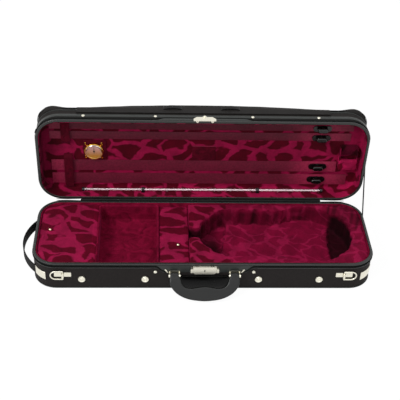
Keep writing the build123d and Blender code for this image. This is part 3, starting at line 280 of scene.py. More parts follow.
# vinyl rolled over the rims: dark with a soft highlight along the roll
rolled_vinyl = leather("grey_rolled_vinyl", "1A1C1A", 0.28, gleam=0.5)
# grey trim leather of the valances and of the band round the lid: a cool half-matt grey
trim_leather = leather("grey_trim_leather", "222624", 0.34)
# leather pressed round the core of the handle: an even charcoal with little grain
handle_leather = leather("moulded_handle_leather", "121313", 0.36, grain=0.0012, strength=0.15, gleam=0.35)
# smooth black leather of the pad and the loops: the darkest surface, with a shallow grain
pad_leather = leather("black_polished_leather", "070707", 0.25, grain=0.002, strength=0.1, gleam=0.12)
# bright nickel plate: warm white highlights and dark reflections
nickel = metal("polished_nickel", "E8E4D4", 0.3)
# gilt brass of the dial: deep yellow and the sharpest highlights
gold = metal("gilt_brass", "E2B048", 0.2)
# lighter lacquered brass of the small knobs
pale_brass = metal("pale_lacquered_brass", "EBDDBC", 0.25)
# enamel of the hinge and the needle, satin black
black_steel = moulded("black_enamelled_steel", "0A0C0B", 0.6, Specular_IOR_Level=0.25)
# nylon of the spinners, the clips and the keyhole: black and glossy
black_plastic = moulded("black_moulded_nylon", "080A09", 0.2)
# waxed linen of the seams: grey stitches that just stand out from the leather
thread = moulded("waxed_linen_thread", "3E3C38", 0.6)
# card of the dial with painted reflections: rose above and amber below
dial_card, dial_tree, dial_shader, dial_place = start("dial_card_with_painted_reflections", "DCA890", 0.5)
level = add(dial_tree, "SeparateXYZ", {}, {0: dial_place}).outputs["Z"]
upper_part = add(dial_tree, "MapRange", ranged(0.0, 1.0, 0.189, 0.214), {"Value": level}).outputs[0]
painted_reflections = add(dial_tree, "Mix", {"A": linear("D08A22"), "B": linear("E4B6B0")}, {0: upper_part},
               data_type="RGBA")
feed(dial_tree, dial_shader, Base_Color=painted_reflections.outputs["Result"])
# printer's ink of the ticks: brown black, matt
dial_ink = moulded("dark_dial_ink", "3A2A26", 0.6)
# clear acrylic: only its line of gloss shows, so it is a faint mirror over the velvet behind it
clear_tube = start("clear_acrylic_tube", "F4E0E6", 0.14, Alpha=0.22, Metallic=1.0)[0]
# thin glass over the dial: sharp highlights, and the card seen through it
clear_glass = start("clear_dial_glass", "FFFFFF", 0.02, Transmission_Weight=1.0, IOR=1.5)[0]

FINISH = {
    shell_cloth: ("base_shell", "lid_shell"),
    rolled_vinyl: ("base_binding", "lid_binding"),
    trim_leather: ("base_valance", "lid_valance"),
    zip_tape: ("base_zip", "lid_zip", "pocket_zip"),
    pocket_cloth: ("music_pocket", "pocket_flap"),
    nickel: ("front_feet", "base_snaps", "handle_brackets", "handle_axles", "lock_case", "lock_thumb_left",
             "lock_thumb_right", "key_barrel", "hasp", "ring_saddles", "strap_ring_left", "strap_ring_right",
             "corner_plates", "lid_snaps"),
    black_steel: ("hinge_base_leaf", "hinge_lid_leaf", "hinge_pin", "dial_needle"),
    handle_leather: ("handle_grip",),
    pad_leather: ("flap_loops",),
    webbing: ("end_strap", "lid_stay"),
    plain_velvet: ("left_box", "neck_box", "left_box_lid", "neck_box_lid", "scroll_tray", "cradle",
                   "base_lining", "bow_strips", "lid_lining", "pouch"),
    dark_velvet: ("tip_covers", "dial_pad", "label_patch"),
    pale_brass: ("left_box_knob", "neck_box_knob"),
    gold: ("dial_bezel",),
    dial_card: ("dial_face",),
    clear_glass: ("dial_glass",),
    clear_tube: ("string_tube",),
    black_plastic: ("tube_fittings", "spinner_bases", "bow_spinner_1", "bow_spinner_2", "bow_spinner_3",
                    "bow_spinner_4"),
}
for material, names in FINISH.items():
    for name in names:
        nodes[name].data.materials.clear()
        nodes[name].data.materials.append(material)


# ---- making pieces, in millimetres ----
def piece(shape, name, material, body, place=Matrix(), stands_for=(), sharp=35):
    """Finished piece of a shape modelled in millimetres: put in place, and riding on a body."""
    shape.transform(place @ Matrix.Scale(MM, 4))
    mesh = bpy.data.meshes.new(name)
    shape.to_mesh(mesh)
    shape.free()
    mesh.materials.append(material)
    mesh.polygons.foreach_set("use_smooth", [True] * len(mesh.polygons))
    mesh.set_sharp_from_angle(angle=math.radians(sharp))
    made = shown(name, mesh)
    if body:
        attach(made, body)
    if stands_for:
        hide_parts(*stands_for)
    return made


def block(shape, size, where):
    """Adds a block of a size to a shape, at a place or turned by a matrix."""
    where = where if isinstance(where, Matrix) else Matrix.Translation(where)
    bmesh.ops.create_cube(shape, size=1, matrix=where @ Matrix.Diagonal((*size, 1)))
    return shape


def closed_loop(shape, points):
    """Adds a loop of edges through some points, and gives its points and edges."""
    spots = [shape.verts.new(point) for point in points]
    return spots, [shape.edges.new(pair) for pair in zip(spots, spots[1:] + spots[:1])]


def outlined(points):
    """Flat sheet inside a closed line."""
    sheet = bmesh.new()
    bmesh.ops.edgeloop_fill(sheet, edges=closed_loop(sheet, points)[1])
    return sheet


def rounded_sheet(length, width, radius, steps=12):
    """Flat sheet with rounded corners, centred, of one face."""
    sheet = bmesh.new()
    bmesh.ops.create_grid(sheet, x_segments=1, y_segments=1, size=0.5)
    bmesh.ops.scale(sheet, vec=(length, width, 1), verts=sheet.verts)
    bmesh.ops.bevel(sheet, geom=sheet.verts[:], offset=radius, offset_type="OFFSET", segments=steps,
                    profile=0.5, affect="VERTICES", material=-1)
    sheet.faces.ensure_lookup_table()
    return sheet


def raised(shape, faces, height):
    """Draws some faces of a shape upwards."""
    grown = bmesh.ops.extrude_face_region(shape, geom=faces)["geom"]
    moving = [v for v in grown if isinstance(v, bmesh.types.BMVert)]
    bmesh.ops.translate(shape, vec=(0, 0, height), verts=moving)


def thickened(sheet, low, high, edge, steps=2):
    """Gives a flat shape its thickness between two heights, with rounded edges."""
    bmesh.ops.translate(sheet, vec=(0, 0, low), verts=sheet.verts)
    raised(sheet, sheet.faces[:], high - low)
    bmesh.ops.recalc_face_normals(sheet, faces=sheet.faces)
    if edge:
        keen = [e for e in sheet.edges if len(e.link_faces) == 2 and e.calc_face_angle() > 1]
        bmesh.ops.bevel(sheet, geom=keen, offset=edge, offset_type="OFFSET", segments=steps, profile=0.5,
                        affect="EDGES", clamp_overlap=True, material=-1)
    return sheet


def cut_across(shape, place, direction):
    """Cuts every face of a shape along a plane, and keeps both sides."""
    bmesh.ops.bisect_plane(shape, geom=shape.verts[:] + shape.edges[:] + shape.faces[:], plane_co=place,
                           plane_no=direction)


def cut_away(shape, half_gap, front):
    """Opens the middle of a band on its front or its hinge side, and closes the ends."""
    for x in (-half_gap, half_gap):
        cut_across(shape, (x, 0, 0), (1, 0, 0))
    middles = {face: face.calc_center_median() for face in shape.faces}
    gone = [face for face, middle in middles.items() if abs(middle.x) < half_gap and (middle.y < 0) == front]
    bmesh.ops.delete(shape, geom=gone, context="FACES")
    bmesh.ops.holes_fill(shape, edges=[e for e in shape.edges if e.is_boundary])
    return shape


def plan_of_the_case(grow):
    """Flat sheet as large as the case, its edge standing off the wall by grow."""
    return rounded_sheet(2 * (HALF_LENGTH + grow), 2 * (HALF_WIDTH + grow), CORNER_RADIUS + grow)


def ring_of(sheet, thickness):
    """Leaves only the edge of a flat sheet, thickness wide."""
    bmesh.ops.inset_region(sheet, faces=sheet.faces[:], thickness=thickness, use_even_offset=True,
                           use_boundary=True)
    middle = max(sheet.faces, key=lambda face: len(face.verts))
    bmesh.ops.delete(sheet, geom=[middle], context="FACES_ONLY")
    return sheet


def band(grow, low, high, thickness, edge):
    """Closed band round the case between two heights, its outside standing off the wall by grow."""
    return thickened(ring_of(plan_of_the_case(grow), thickness), low, high, edge)


def round_the_case(grow, height):
    """Line round the case at a height, standing off the wall by grow."""
    sheet = plan_of_the_case(grow)
    line = [v.co + Vector((0, 0, height)) for v in sheet.faces[0].verts]
    sheet.free()
    return line + line[:1]


def smooth_line(points, radius=0.0, swell=()):
    """Smooth line through control points, or with a radius a round cord along it, swelling as told."""
    curve = bpy.data.curves.new("line", "CURVE")
    curve.dimensions = "3D"
    spline = curve.splines.new("NURBS")
    spline.points.add(len(points) - 1)
    for spot, point in zip(spline.points, points):
        spot.co = (*point, 1)
    for spot, part in zip(spline.points, swell):
        spot.radius = part
    spline.order_u = 3
    spline.use_endpoint_u = True
    curve.resolution_u = 8
    curve.bevel_depth = radius
    curve.bevel_resolution = 3
    curve.use_fill_caps = True
    holder = bpy.data.objects.new("line", curve)
    mesh = bpy.data.meshes.new_from_object(holder)
    bpy.data.objects.remove(holder)
    if not radius:
        return [v.co.copy() for v in mesh.vertices]
    cord = bmesh.new()
    cord.from_mesh(mesh)
    bmesh.ops.remove_doubles(cord, verts=cord.verts, dist=1e-4)
    bmesh.ops.recalc_face_normals(cord, faces=cord.faces)
    return cord


def row_along(line, pitch, size, keep=lambda spot: True):
    """Row of small blocks along a line, such as zip teeth or stitches, each turned with it."""
    shape = bmesh.new()
    ahead = pitch / 2
    for start_point, end_point in zip(line, line[1:]):
        step = end_point - start_point
        while ahead < step.length:
            spot = start_point + step.normalized() * ahead
            if keep(spot):
                with_line = step.to_track_quat("X", "Z").to_matrix().to_4x4()
                block(shape, size, Matrix.Translation(spot) @ with_line)
            ahead += pitch
        ahead -= step.length
    return shape


def turned_part(outline, spots, steps=28):
    """Round parts spun from half an outline of radii and heights, one at each spot."""
    shape = bmesh.new()
    for spot in spots:
        line = [shape.verts.new((r, 0, h)) for r, h in outline]
        edges = [shape.edges.new(pair) for pair in zip(line, line[1:])]
        bmesh.ops.spin(shape, geom=line + edges, cent=(0, 0, 0), axis=(0, 0, 1), angle=math.tau, steps=steps,
                       use_merge=True)
        fresh = [v for v in shape.verts if not v.tag]
        bmesh.ops.translate(shape, vec=spot, verts=fresh)
        for v in fresh:
            v.tag = True
    bmesh.ops.remove_doubles(shape, verts=shape.verts, dist=1e-3)
    bmesh.ops.recalc_face_normals(shape, faces=shape.faces)
    return shape


def softened(node, voxel, rounds):
    """Shape of a CAD solid with its edges rolled over."""
    solid = bmesh.new()
    solid.from_mesh(nodes[node].data)
    bmesh.ops.remove_doubles(solid, verts=solid.verts, dist=1e-6)
    solid.transform(Matrix.Scale(1 / MM, 4))
    return remeshed(solid, voxel, rounds)


def remeshed(shape, voxel, rounds):
    """A closed shape with an even fine surface, smoothed so that its edges roll over."""
    mesh = bpy.data.meshes.new("shape")
    shape.to_mesh(mesh)
    shape.free()
    holder = shown("shape", mesh)
    fine = holder.modifiers.new("fine", "REMESH")
    fine.mode = "VOXEL"
    fine.voxel_size = voxel
    bpy.context.view_layer.update()
    finished = bpy.data.meshes.new_from_object(holder.evaluated_get(bpy.context.evaluated_depsgraph_get()))
    bpy.data.objects.remove(holder)
    soft = bmesh.new()
    soft.from_mesh(finished)
    smoothed(soft, rounds)
    return soft


def painted(made, shade):
    """Paints light and shade on the cloth, from each place in millimetres and its normal."""
    layer = made.data.attributes.new("shade", "FLOAT", "POINT")
    layer.data.foreach_set("value", [shade(v.co / MM, v.normal) for v in made.data.vertices])
    return made


def smoothed(shape, rounds):
    """Rounds off a fine mesh."""
    for _ in range(rounds):
        bmesh.ops.smooth_vert(shape, verts=shape.verts, factor=0.5, use_axis_x=True, use_axis_y=True,
                              use_axis_z=True)
    shape.normal_update()


def ease(value, low, high):
    """0 below low, 1 above high, and smooth between."""
    part = min(max((value - low) / (high - low), 0.0), 1.0)
    return part * part * (3 - 2 * part)


def waves(spot, across, along, seed=0.0):
    """Folds of cloth from -1 to 1: so many millimetres across a fold, and as many along it."""
    return noise.noise(Vector((spot.x / across + seed, spot.y / across, spot.z / along)))


# ---- zips, piping and trim round the case ----
ZIP_HEIGHT, ZIP_DEPTH = 70.5, 7.5
VALANCE_SIDE = 125
HINGE_SIDE = 309
ZIP_PITCH, ZIP_TOOTH = 2.8, (1.4, 1.1, 4.6)  # drawn a little coarser than real, so that they show
STITCH_PITCH = 3.4


def off_the_gaps(spot):
    """Whether a zip runs here: it stops at the valances and at the hinge."""
    return abs(spot.x) > (VALANCE_SIDE if spot.y < 0 else HINGE_SIDE) or abs(spot.y) < 100


def off_the_hinge(spot):
    """Whether a seam runs here: it stops at the hinge only."""
    return spot.y < 115 or abs(spot.x) > HINGE_SIDE


base_teeth = row_along(round_the_case(1.7, ZIP_HEIGHT), ZIP_PITCH, ZIP_TOOTH, off_the_gaps)
piece(base_teeth, "base_zip_teeth", zip_tape, "base")
lid_teeth = row_along(round_the_case(1.7, ZIP_DEPTH), ZIP_PITCH, ZIP_TOOTH, off_the_gaps)
piece(lid_teeth, "lid_zip_teeth", zip_tape, "lid", OPEN_LID)
base_cord = cut_away(band(1.4, 65.4, 67.6, 2.0, 0.7), VALANCE_SIDE, True)
piece(base_cord, "base_zip_piping", rolled_vinyl, "base")
piece(band(1.5, 1.6, 4.4, 2.6, 1.1), "base_bottom_piping", trim_leather, "base")
lid_band = cut_away(band(1.1, 15, 27, 1.2, 0.4), HINGE_SIDE - 2, False)
piece(lid_band, "lid_trim_band", trim_leather, "lid", OPEN_LID)
for depth in (16.2, 25.8):
    seam = row_along(round_the_case(1.15, depth), STITCH_PITCH, (2.3, 0.35, 0.45), off_the_hinge)
    piece(seam, f"lid_trim_stitches_{round(depth)}", thread, "lid", OPEN_LID)
piece(band(1.2, 42.6, 45.4, 2.4, 1.0), "lid_back_piping", trim_leather, "lid", OPEN_LID)

# the zips leave the rim beside the valances and follow their ends
ZIP_DIP = ((128, 70.5), (120, 70.5), (110, 68.5), (103, 60.5), (97, 56), (88, 55.2))
for side, name in ((-1, "left"), (1, "right")):
    dip = [(side * x, z, 1.2) for x, z in ZIP_DIP]
    piece(smooth_line(dip, 1.9), f"base_zip_end_{name}", zip_tape, "base", FRONT_WALL)
    dip = [(x - side * 0.6, z - 3.6, 0.6) for x, z, _ in dip[:-1]]
    piece(smooth_line(dip, 0.9), f"base_piping_end_{name}", rolled_vinyl, "base", FRONT_WALL)
rise = [(-128, 7.5), (-120, 7.6), (-108, 11), (-98, 13.4), (-86, 13.6)]
rise += [(-x, depth) for x, depth in reversed(rise)]
over = [(x, -HALF_WIDTH - 1.2, depth) for x, depth in rise]
piece(smooth_line(over, 1.2), "lid_zip_over_valance", zip_tape, "lid", OPEN_LID)

# tapes along the foot of the hinge, behind its knuckles and under its lid leaf
tape = block(bmesh.new(), (614, 0.5, 3.2), (0, HALF_WIDTH + 0.9, 76.4))
piece(tape, "hinge_backing_tape", zip_tape, "base")
tape = block(bmesh.new(), (608, 0.16, 3.2), (0, HALF_WIDTH + 0.71, 1.7))
piece(tape, "hinge_edge_tape", zip_tape, "lid", OPEN_LID)
# cloth gussets that end the zips beside the hinge: thickest where they meet
GUSSET = ((306, 0.5), (318, 0.9), (330, 1.4), (342, 1.6), (352, 1.1), (366, 0.4))
swell = [part for _, part in GUSSET]
for side, name in ((-1, "left"), (1, "right")):
    for half, body, height, place in (("base", "base", 76.7, Matrix()), ("lid", "lid", 1.9, OPEN_LID)):
        along_wall = [(side * x, HALF_WIDTH + 1.9 - 0.3 * part, height) for x, part in GUSSET]
        piece(smooth_line(along_wall, 1.0, swell), f"{half}_gusset_{name}", zip_tape, body, place)

# ---- front of the base ----
pad = rounded_sheet(120, 42, 11)
bmesh.ops.translate(pad, vec=(1, 22.5, 0), verts=pad.verts)
handle_pad = piece(thickened(pad, 0.2, 1.6, 0.6), "handle_pad", pad_leather, "base", FRONT_WALL)
edge = rounded_sheet(114, 36, 9)
seam_line = [v.co + Vector((1, 22.5, 1.55)) for v in edge.faces[0].verts]
edge.free()
seam = row_along(seam_line + seam_line[:1], STITCH_PITCH, (2.3, 0.4, 0.5))
piece(seam, "handle_pad_stitches", thread, "base", FRONT_WALL)

# slider of the base zip and its tab, lying aslant where the zip leaves the valance
sliders = bmesh.new()
for side in (-1, 1):
    aslant = Matrix.Translation((89.5 * side, 58.3, 0)) @ Matrix.Rotation(-0.66 * side, 4, "Z")
    for size, centre in (((3.2, 7, 2.2), (0, 3, 2.4)), ((2.2, 7, 1), (0, -1.5, 3.6))):
        block(sliders, size, aslant @ Matrix.Translation(centre))
bmesh.ops.bevel(sliders, geom=sliders.edges[:], offset=0.4, affect="EDGES", segments=2, profile=0.5,
                material=-1)
piece(sliders, "nickel_zip_sliders", nickel, "base", FRONT_WALL, stands_for=("zip_sliders",))

keyhole = bmesh.new()
for size, height in (((2.6, 2.6, 0.3), 64.5), ((1.8, 5.2, 0.3), 62.1)):
    block(keyhole, size, (0, height, 7.05))
piece(keyhole, "keyhole", black_plastic, "key_barrel", FRONT_WALL)

foot_outline = ((0, 4.4), (1.6, 4.3), (2.9, 3.4), (3.5, 2.7), (5.8, 2.6), (6.5, 3.4), (7.3, 3.7), (8.2, 3.4),
                (8.9, 2.4), (9, 0.1), (0, 0.1))
feet = turned_part(foot_outline, [(x, 31, 0) for x in (-289, -140, 129, 274)])
piece(feet, "nickel_feet", nickel, "base", FRONT_WALL, ["front_feet"])

# grip of the handle, drawn in its own plane: across, and down from the axles
OUTSIDE = ((-81, -6.5), (-81.5, 2), (-84, 10), (-81.5, 22), (-74, 34), (-62, 45), (-43, 54), (-20, 58.6),
           (0, 59.6))
INSIDE = ((-61, -6.5), (-60.5, 1), (-56, 8), (-54.5, 17), (-48, 26), (-36, 29.5), (-22, 28), (-10, 25.6),
          (0, 25))
outline = []
for half in (OUTSIDE, INSIDE):
    left = smooth_line([(x, down, 0) for x, down in half])
    line = left + [Vector((-v.x, v.y, 0)) for v in reversed(left[:-1])]
    outline += line if half is OUTSIDE else line[::-1]
grip = outlined(outline)
bmesh.ops.triangulate(grip, faces=grip.faces)
grip = remeshed(thickened(grip, -9, 9, 0), 1.5, 14)
for v in grip.verts:
    v.co.z *= 0.66 + 0.34 * ease(v.co.y, -2, 20)
hang = math.radians(50.6)
HANDLE_PLANE = Matrix(((1, 0, 0, 0), (0, -math.cos(hang), -math.sin(hang), -128 * MM),
                       (0, -math.sin(hang), math.cos(hang), 50 * MM), (0, 0, 0, 1)))
piece(grip, "leather_grip", handle_leather, "handle", HANDLE_PLANE, ["handle_grip"], sharp=80)

# nickel plates that wrap the four corners of the base
plate_edge = ((56.2, 24.2), (56.2, 45.8), (56.7, 46.3), (57.3, 45.8), (57.3, 24.2), (56.7, 23.7))
plates = bmesh.new()
for side in (-1, 1):
    for front in (-1, 1):
        centre = Vector((side * (HALF_LENGTH - CORNER_RADIUS), front * (HALF_WIDTH - CORNER_RADIUS), 0))
        spots, edges = closed_loop(plates, [centre + Vector((side * out, 0, z)) for out, z in plate_edge])
        begin = Matrix.Rotation(side * front * math.radians(20), 3, "Z")
        bmesh.ops.rotate(plates, verts=spots, cent=centre, matrix=begin)
        bmesh.ops.spin(plates, geom=spots + edges, cent=centre, axis=(0, 0, side * front),
                       angle=math.radians(44), steps=14)
bmesh.ops.holes_fill(plates, edges=[e for e in plates.edges if e.is_boundary])
bmesh.ops.recalc_face_normals(plates, faces=plates.faces)
piece(plates, "nickel_corner_plates", nickel, "base", stands_for=["corner_plates"])

# webbing handle on the left end: ribs along its length, on a wide arc from plate to plate
STRAP_RADIUS, STRAP_MIDDLE, STRAP_HALF, STRAP_HEIGHT, RIBS = 123.4, -314.6, 12.5, 35, 10
outermost = STRAP_MIDDLE - STRAP_RADIUS
edge_height = STRAP_HALF - 0.4
rib_line = [(outermost + (0.7 if k % 2 else 0.0), 0, STRAP_HEIGHT - edge_height + k * 2 * edge_height / RIBS)
            for k in range(RIBS + 1)]
rib_line += [(outermost + 2.3, 0, STRAP_HEIGHT + rise) for rise in (edge_height, -edge_height)]
rib = bmesh.new()
spots, edges = closed_loop(rib, rib_line)
strap_middle = (STRAP_MIDDLE, 0, 0)
bmesh.ops.rotate(rib, verts=spots, cent=strap_middle, matrix=Matrix.Rotation(math.radians(-46), 3, "Z"))
bmesh.ops.spin(rib, geom=spots + edges, cent=strap_middle, axis=(0, 0, 1), angle=math.radians(92), steps=46)
bmesh.ops.holes_fill(rib, edges=[e for e in rib.edges if e.is_boundary])
bmesh.ops.recalc_face_normals(rib, faces=rib.faces)
strap = piece(rib, "webbing_end_handle", webbing, "base", stands_for=["end_strap"], sharp=60)

# ---- inside of the base ----
walls = thickened(ring_of(rounded_sheet(797.2, 223.2, 49.6), 1.8), 5.2, 77, 0.8, 3)
piece(walls, "velvet_wall_lining", plain_velvet, "base", stands_for=["base_lining"])


def padded_lid(node, name, crown, fold, body):
    """Velvet over thin foam on a box lid: crowned, with its edges drawn down, and a painted highlight along
    the fold at its right edge.
    """
    soft = softened(node, 1.5, 2)
    low, high = (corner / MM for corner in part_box(node))
    for v in soft.verts:
        if v.co.z > (low.z + high.z) / 2:
            inside = min(v.co.x - low.x, high.x - v.co.x, v.co.y - low.y, high.y - v.co.y)
            v.co.z += crown * ease(inside, 0, 11) + 0.5 * waves(v.co, 24, 24) * ease(inside, 2, 12)
            v.co.z -= 1.4 * ease(v.co.x, high.x - fold, high.x)
    smoothed(soft, 2)
    made = piece(soft, name, base_velvet, body, stands_for=[node], sharp=80)
    # painted highlight: the fold at the right edge a third lighter
    painted(made, lambda spot, normal: 1 + 0.3 * ease(spot.x, high.x - fold - 1, high.x - fold + 1))
    return made


padded_lid("left_box_lid", "velvet_left_box_lid", 2.2, 11, "left_box_lid")
padded_lid("neck_box_lid", "velvet_neck_box_lid", 1.8, 3, "neck_box_lid")

recess = softened("scroll_tray", 2.6, 3)
for v in recess.verts:
    free = ease(v.co.z, 20, 30) * (1 - ease(v.co.z, 62, 70)) * ease(100 - abs(v.co.y), -9, 4)
    v.co += v.normal * 1.6 * waves(v.co, 22, 60, 3.1) * free
recess = piece(recess, "velvet_scroll_recess", plain_velvet, "base", stands_for=["scroll_tray"], sharp=80)

cradle = softened("cradle", 2.6, 4)
block_low, block_high = (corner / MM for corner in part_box("cradle"))


def beyond(spot):
    """How far a place lies outside the oval of the lower bout, as a share of its size."""
    return math.hypot((spot.x - 255) / 112, (spot.y - 3) / 104) - 1


def folds(spot):
    """Upright gathers of the cloth on the walls of the cradle, from about -1 to 1."""
    return 1.3 * waves(spot, 19, 150) + 0.6 * waves(spot, 8, 90, 5.3)


for v in cradle.verts:
    spot, out = v.co.copy(), v.normal.copy()
    to_edge = min(spot.x - block_low.x, block_high.x - spot.x, spot.y - block_low.y, block_high.y - spot.y)
    free = ease(to_edge, 1.5, 10)
    wall = 1 - ease(abs(out.z), 0.3, 0.85)
    v.co += Vector((out.x, out.y, 0)) * 5.5 * folds(spot) * wall * free
    if spot.z < 30:
        lumps = 1.6 * waves(spot, 45, 45, 1.7) + 0.6 * waves(spot, 15, 15, 8.2)
        v.co.z += lumps * free * ease(out.z, 0.3, 0.9)
    if spot.z > 60:
        top = ease(out.z, 0.1, 0.7)
        falling = 1 - ease(beyond(spot), 0.0, 0.22) if spot.x > 140 else 0.0
        rear = ease(spot.y, 0, 40)
        pucker = 5.0 * waves(spot, 21, 60, 2.2) * (1 - ease(abs(spot.y + 104), 4, 14)) * ease(spot.x, 60, 120)
        crease = -7.0 * math.exp(-((spot.y + 34 + 0.25 * (spot.x - 380)) / 6) ** 2) * ease(spot.x, 352, 372)
        soft = 1.8 * waves(spot, 26, 60, 3.4) - falling * (2 + 7 * rear)
        v.co.z += top * (pucker + (crease + soft) * free)
smoothed(cradle, 2)
cradle = piece(cradle, "velvet_cradle", cradle_velvet, "base", stands_for=["cradle"], sharp=80)


def cradle_painted_shade(spot, normal):
    """Painted light and shade over the cradle: light on its top and cushion, painted shadow in its wells, on
    its walls and in its folds, lighter on the fold tops, darker with lighter streaks at the rear right
    corner.
    """
    wall = 1 - ease(abs(normal.z), 0.4, 0.85)
    low = 1 - ease(spot.z, 55, 70)
    left_well = 1 - ease(spot.x + 0.2 * (spot.y - 3), 34, 62)
    right_well = ease(spot.x - 0.0016 * (spot.y - 3) ** 2, 306, 324)
    tone = 1.0 - 0.35 * wall * low + 0.42 * folds(spot) * wall * low
    tone *= 1 - 0.6 * math.exp(-((spot.x - 133) / 8) ** 2) * wall * ease(spot.y, 20, 60)
    tone *= 1 - 0.82 * left_well * low * (1 - 0.6 * ease(spot.y, 20, 70))
    tone *= 1 - 0.9 * right_well * low
    corner = ease(spot.x, 295, 325) * ease(spot.y, 0, 30) * (1 - low)
    streaks = waves(Vector((spot.x - 0.3 * spot.y, 0.12 * spot.y, 0)), 8, 8, 7.7)
    tone *= 1 - corner * (0.4 - 0.6 * streaks)
    return max(tone, 0.06)


painted(cradle, cradle_painted_shade)
cradle.data.materials.append(base_velvet)
for face in cradle.data.polygons:
    if face.normal.z > 0.75 and face.center.z > 68 * MM and face.center.x < 60 * MM:
        face.material_index = 1


# ---- outside of the lid: pocket, flap and loops ----
def bag_drop(x, depth):
    """How far the back of the pocket sinks towards its ends."""
    return 9 * (x / 285) ** 2 * ease(depth, 50, 64)


bag = rounded_sheet(806, 232, 34)
bag = thickened(bag, POCKET_DEPTH + 0.3, POCKET_DEPTH + 20, 0)
bag = remeshed(bag, 4.0, 5)
for v in bag.verts:
    back = ease(v.co.z, POCKET_DEPTH + 3, POCKET_DEPTH + 19)
    inside = min(403 - abs(v.co.x), 116 - abs(v.co.y))
    crease = 1.5 * waves(Vector((v.co.x, 2.2 * v.co.y, 0)), 64, 64, 4.4) + 0.7 * waves(v.co, 23, 23, 9.1)
    v.co.z += back * (5.5 * ease(inside, 0, 50) - 1.5 + crease * ease(inside, 4, 30))
    hump = 5.0 * math.exp(-((abs(v.co.x) - 366) / 22) ** 2)
    handle_side = ease(-v.co.y, 95, 114)
    v.co.y += handle_side * (bag_drop(v.co.x, v.co.z) * (1 - ease(abs(v.co.x), 300, 330)) - hump)
smoothed(bag, 1)
piece(bag, "canvas_music_pocket", pocket_cloth, "lid", OPEN_LID, ["music_pocket"], sharp=80)

flap = bmesh.new()
bmesh.ops.create_grid(flap, x_segments=96, y_segments=28, size=0.5)
FLAP_LENGTH, FLAP_RUN, FLAP_TOP = 614, 106, -119.6
TOP_RUN, FOLD_RADIUS = 32.0, 5
FOLD_RUN = 7.9  # a quarter turn of the fold
for v in flap.verts:
    x, run = FLAP_LENGTH * v.co.x, FLAP_RUN * (v.co.y + 0.5)
    fold_turn = min(max(run - TOP_RUN, 0.0) / FOLD_RUN, 1.0) * math.pi / 2
    down = max(run - TOP_RUN - FOLD_RUN, 0.0)
    depth = 31 + min(run, TOP_RUN) + FOLD_RADIUS * math.sin(fold_turn)
    y = FLAP_TOP + FOLD_RADIUS * (1 - math.cos(fold_turn)) + down
    y += bag_drop(x, depth) * ease(60 - down, 0, 60) + 0.6 * waves(Vector((x, run, 0)), 38, 38, 6.0)
    lift = 5.2 * ease(down, 4, 50) * ease(FLAP_LENGTH / 2 - abs(x), -20, 60)
    depth += 0.6 + lift + 0.9 * waves(Vector((x, run, 0)), 55, 55, 2.0) * ease(run, 30, 60)
    v.co = Vector((x, y, depth))
bmesh.ops.recalc_face_normals(flap, faces=flap.faces)
if sum(f.normal.z for f in flap.faces) < 0:
    bmesh.ops.reverse_faces(flap, faces=flap.faces)
bmesh.ops.solidify(flap, geom=flap.faces[:], thickness=-2.0)
bmesh.ops.recalc_face_normals(flap, faces=flap.faces)
flap = piece(flap, "canvas_pocket_flap", pocket_cloth, "lid", OPEN_LID, ["pocket_flap"], sharp=60)

loops = softened("flap_loops", 0.8, 2)
piece(loops, "leather_flap_loops", pad_leather, "lid", stands_for=["flap_loops"], sharp=80)

# ---- inside of the lid: lining, ribbons, covers, patch, pouch and dial ----
pan = thickened(rounded_sheet(797.4, 223.4, 49.7), 1.0, 42, 0)
mouth = min(pan.faces, key=lambda f: f.calc_center_median().z)
bmesh.ops.inset_region(pan, faces=[mouth], thickness=1.3, use_even_offset=True)
mouth = min(pan.faces, key=lambda f: (round(f.calc_center_median().z, 3), -f.calc_area()))
raised(pan, [mouth], 39)
if mouth.is_valid:
    bmesh.ops.delete(pan, geom=[mouth], context="FACES_ONLY")
fold = [e for e in pan.edges if all(abs(v.co.z - 40) < 0.01 for v in e.verts)]
bmesh.ops.bevel(pan, geom=fold, offset=7, offset_type="OFFSET", segments=5, profile=0.5, affect="EDGES",
                material=-1)
bmesh.ops.recalc_face_normals(pan, faces=pan.faces)
# fine enough for its painted shade
for axis, cuts in ((0, range(-390, 391, 20)), (1, range(-105, 106, 15)), (2, (8, 16, 24, 32))):
    direction = Vector([float(k == axis) for k in range(3)])
    for cut in cuts:
        cut_across(pan, direction * cut, direction)
lining = piece(pan, "velvet_lid_lining", lid_velvet_shaded, "lid", OPEN_LID, ["lid_lining"], sharp=50)


def lid_painted_shade(spot, normal):
    """Painted shade in the lid: shadow at the left and under the top, more light along the hinge side; its
    left wall painted darker and its right wall lighter.
    """
    tone = 1.25 - 0.3 * ease(spot.z, 95, 135) - 0.16 * ease(spot.z, 225, 300)
    tone *= 0.62 + 0.38 * ease(spot.x, -396, -290)
    return tone * (1 - 0.35 * ease(normal.x, 0.2, 0.8)) * (1 + 0.25 * ease(-normal.x, 0.2, 0.8))


painted(lining, lid_painted_shade)


def row(height):
    """Place across the lid of a height over its hinge side."""
    return 118.0 - height


def satin_painted_light(spot, normal):
    """Painted light and shade on the ribbons: dim under the top of the lid, painted highlights beside the
    spinners and at their ends, with a little random tone.
    """
    tone = 1 + 1.5 * ease(spot.x, 200, 280) * (1 - 0.6 * ease(spot.x, 315, 370))
    tone += 1 - ease(spot.x, -352, -330) + 0.2 * noise.noise(spot / 40)
    return tone * (1.15 - 0.4 * ease(spot.z, 160, 260))


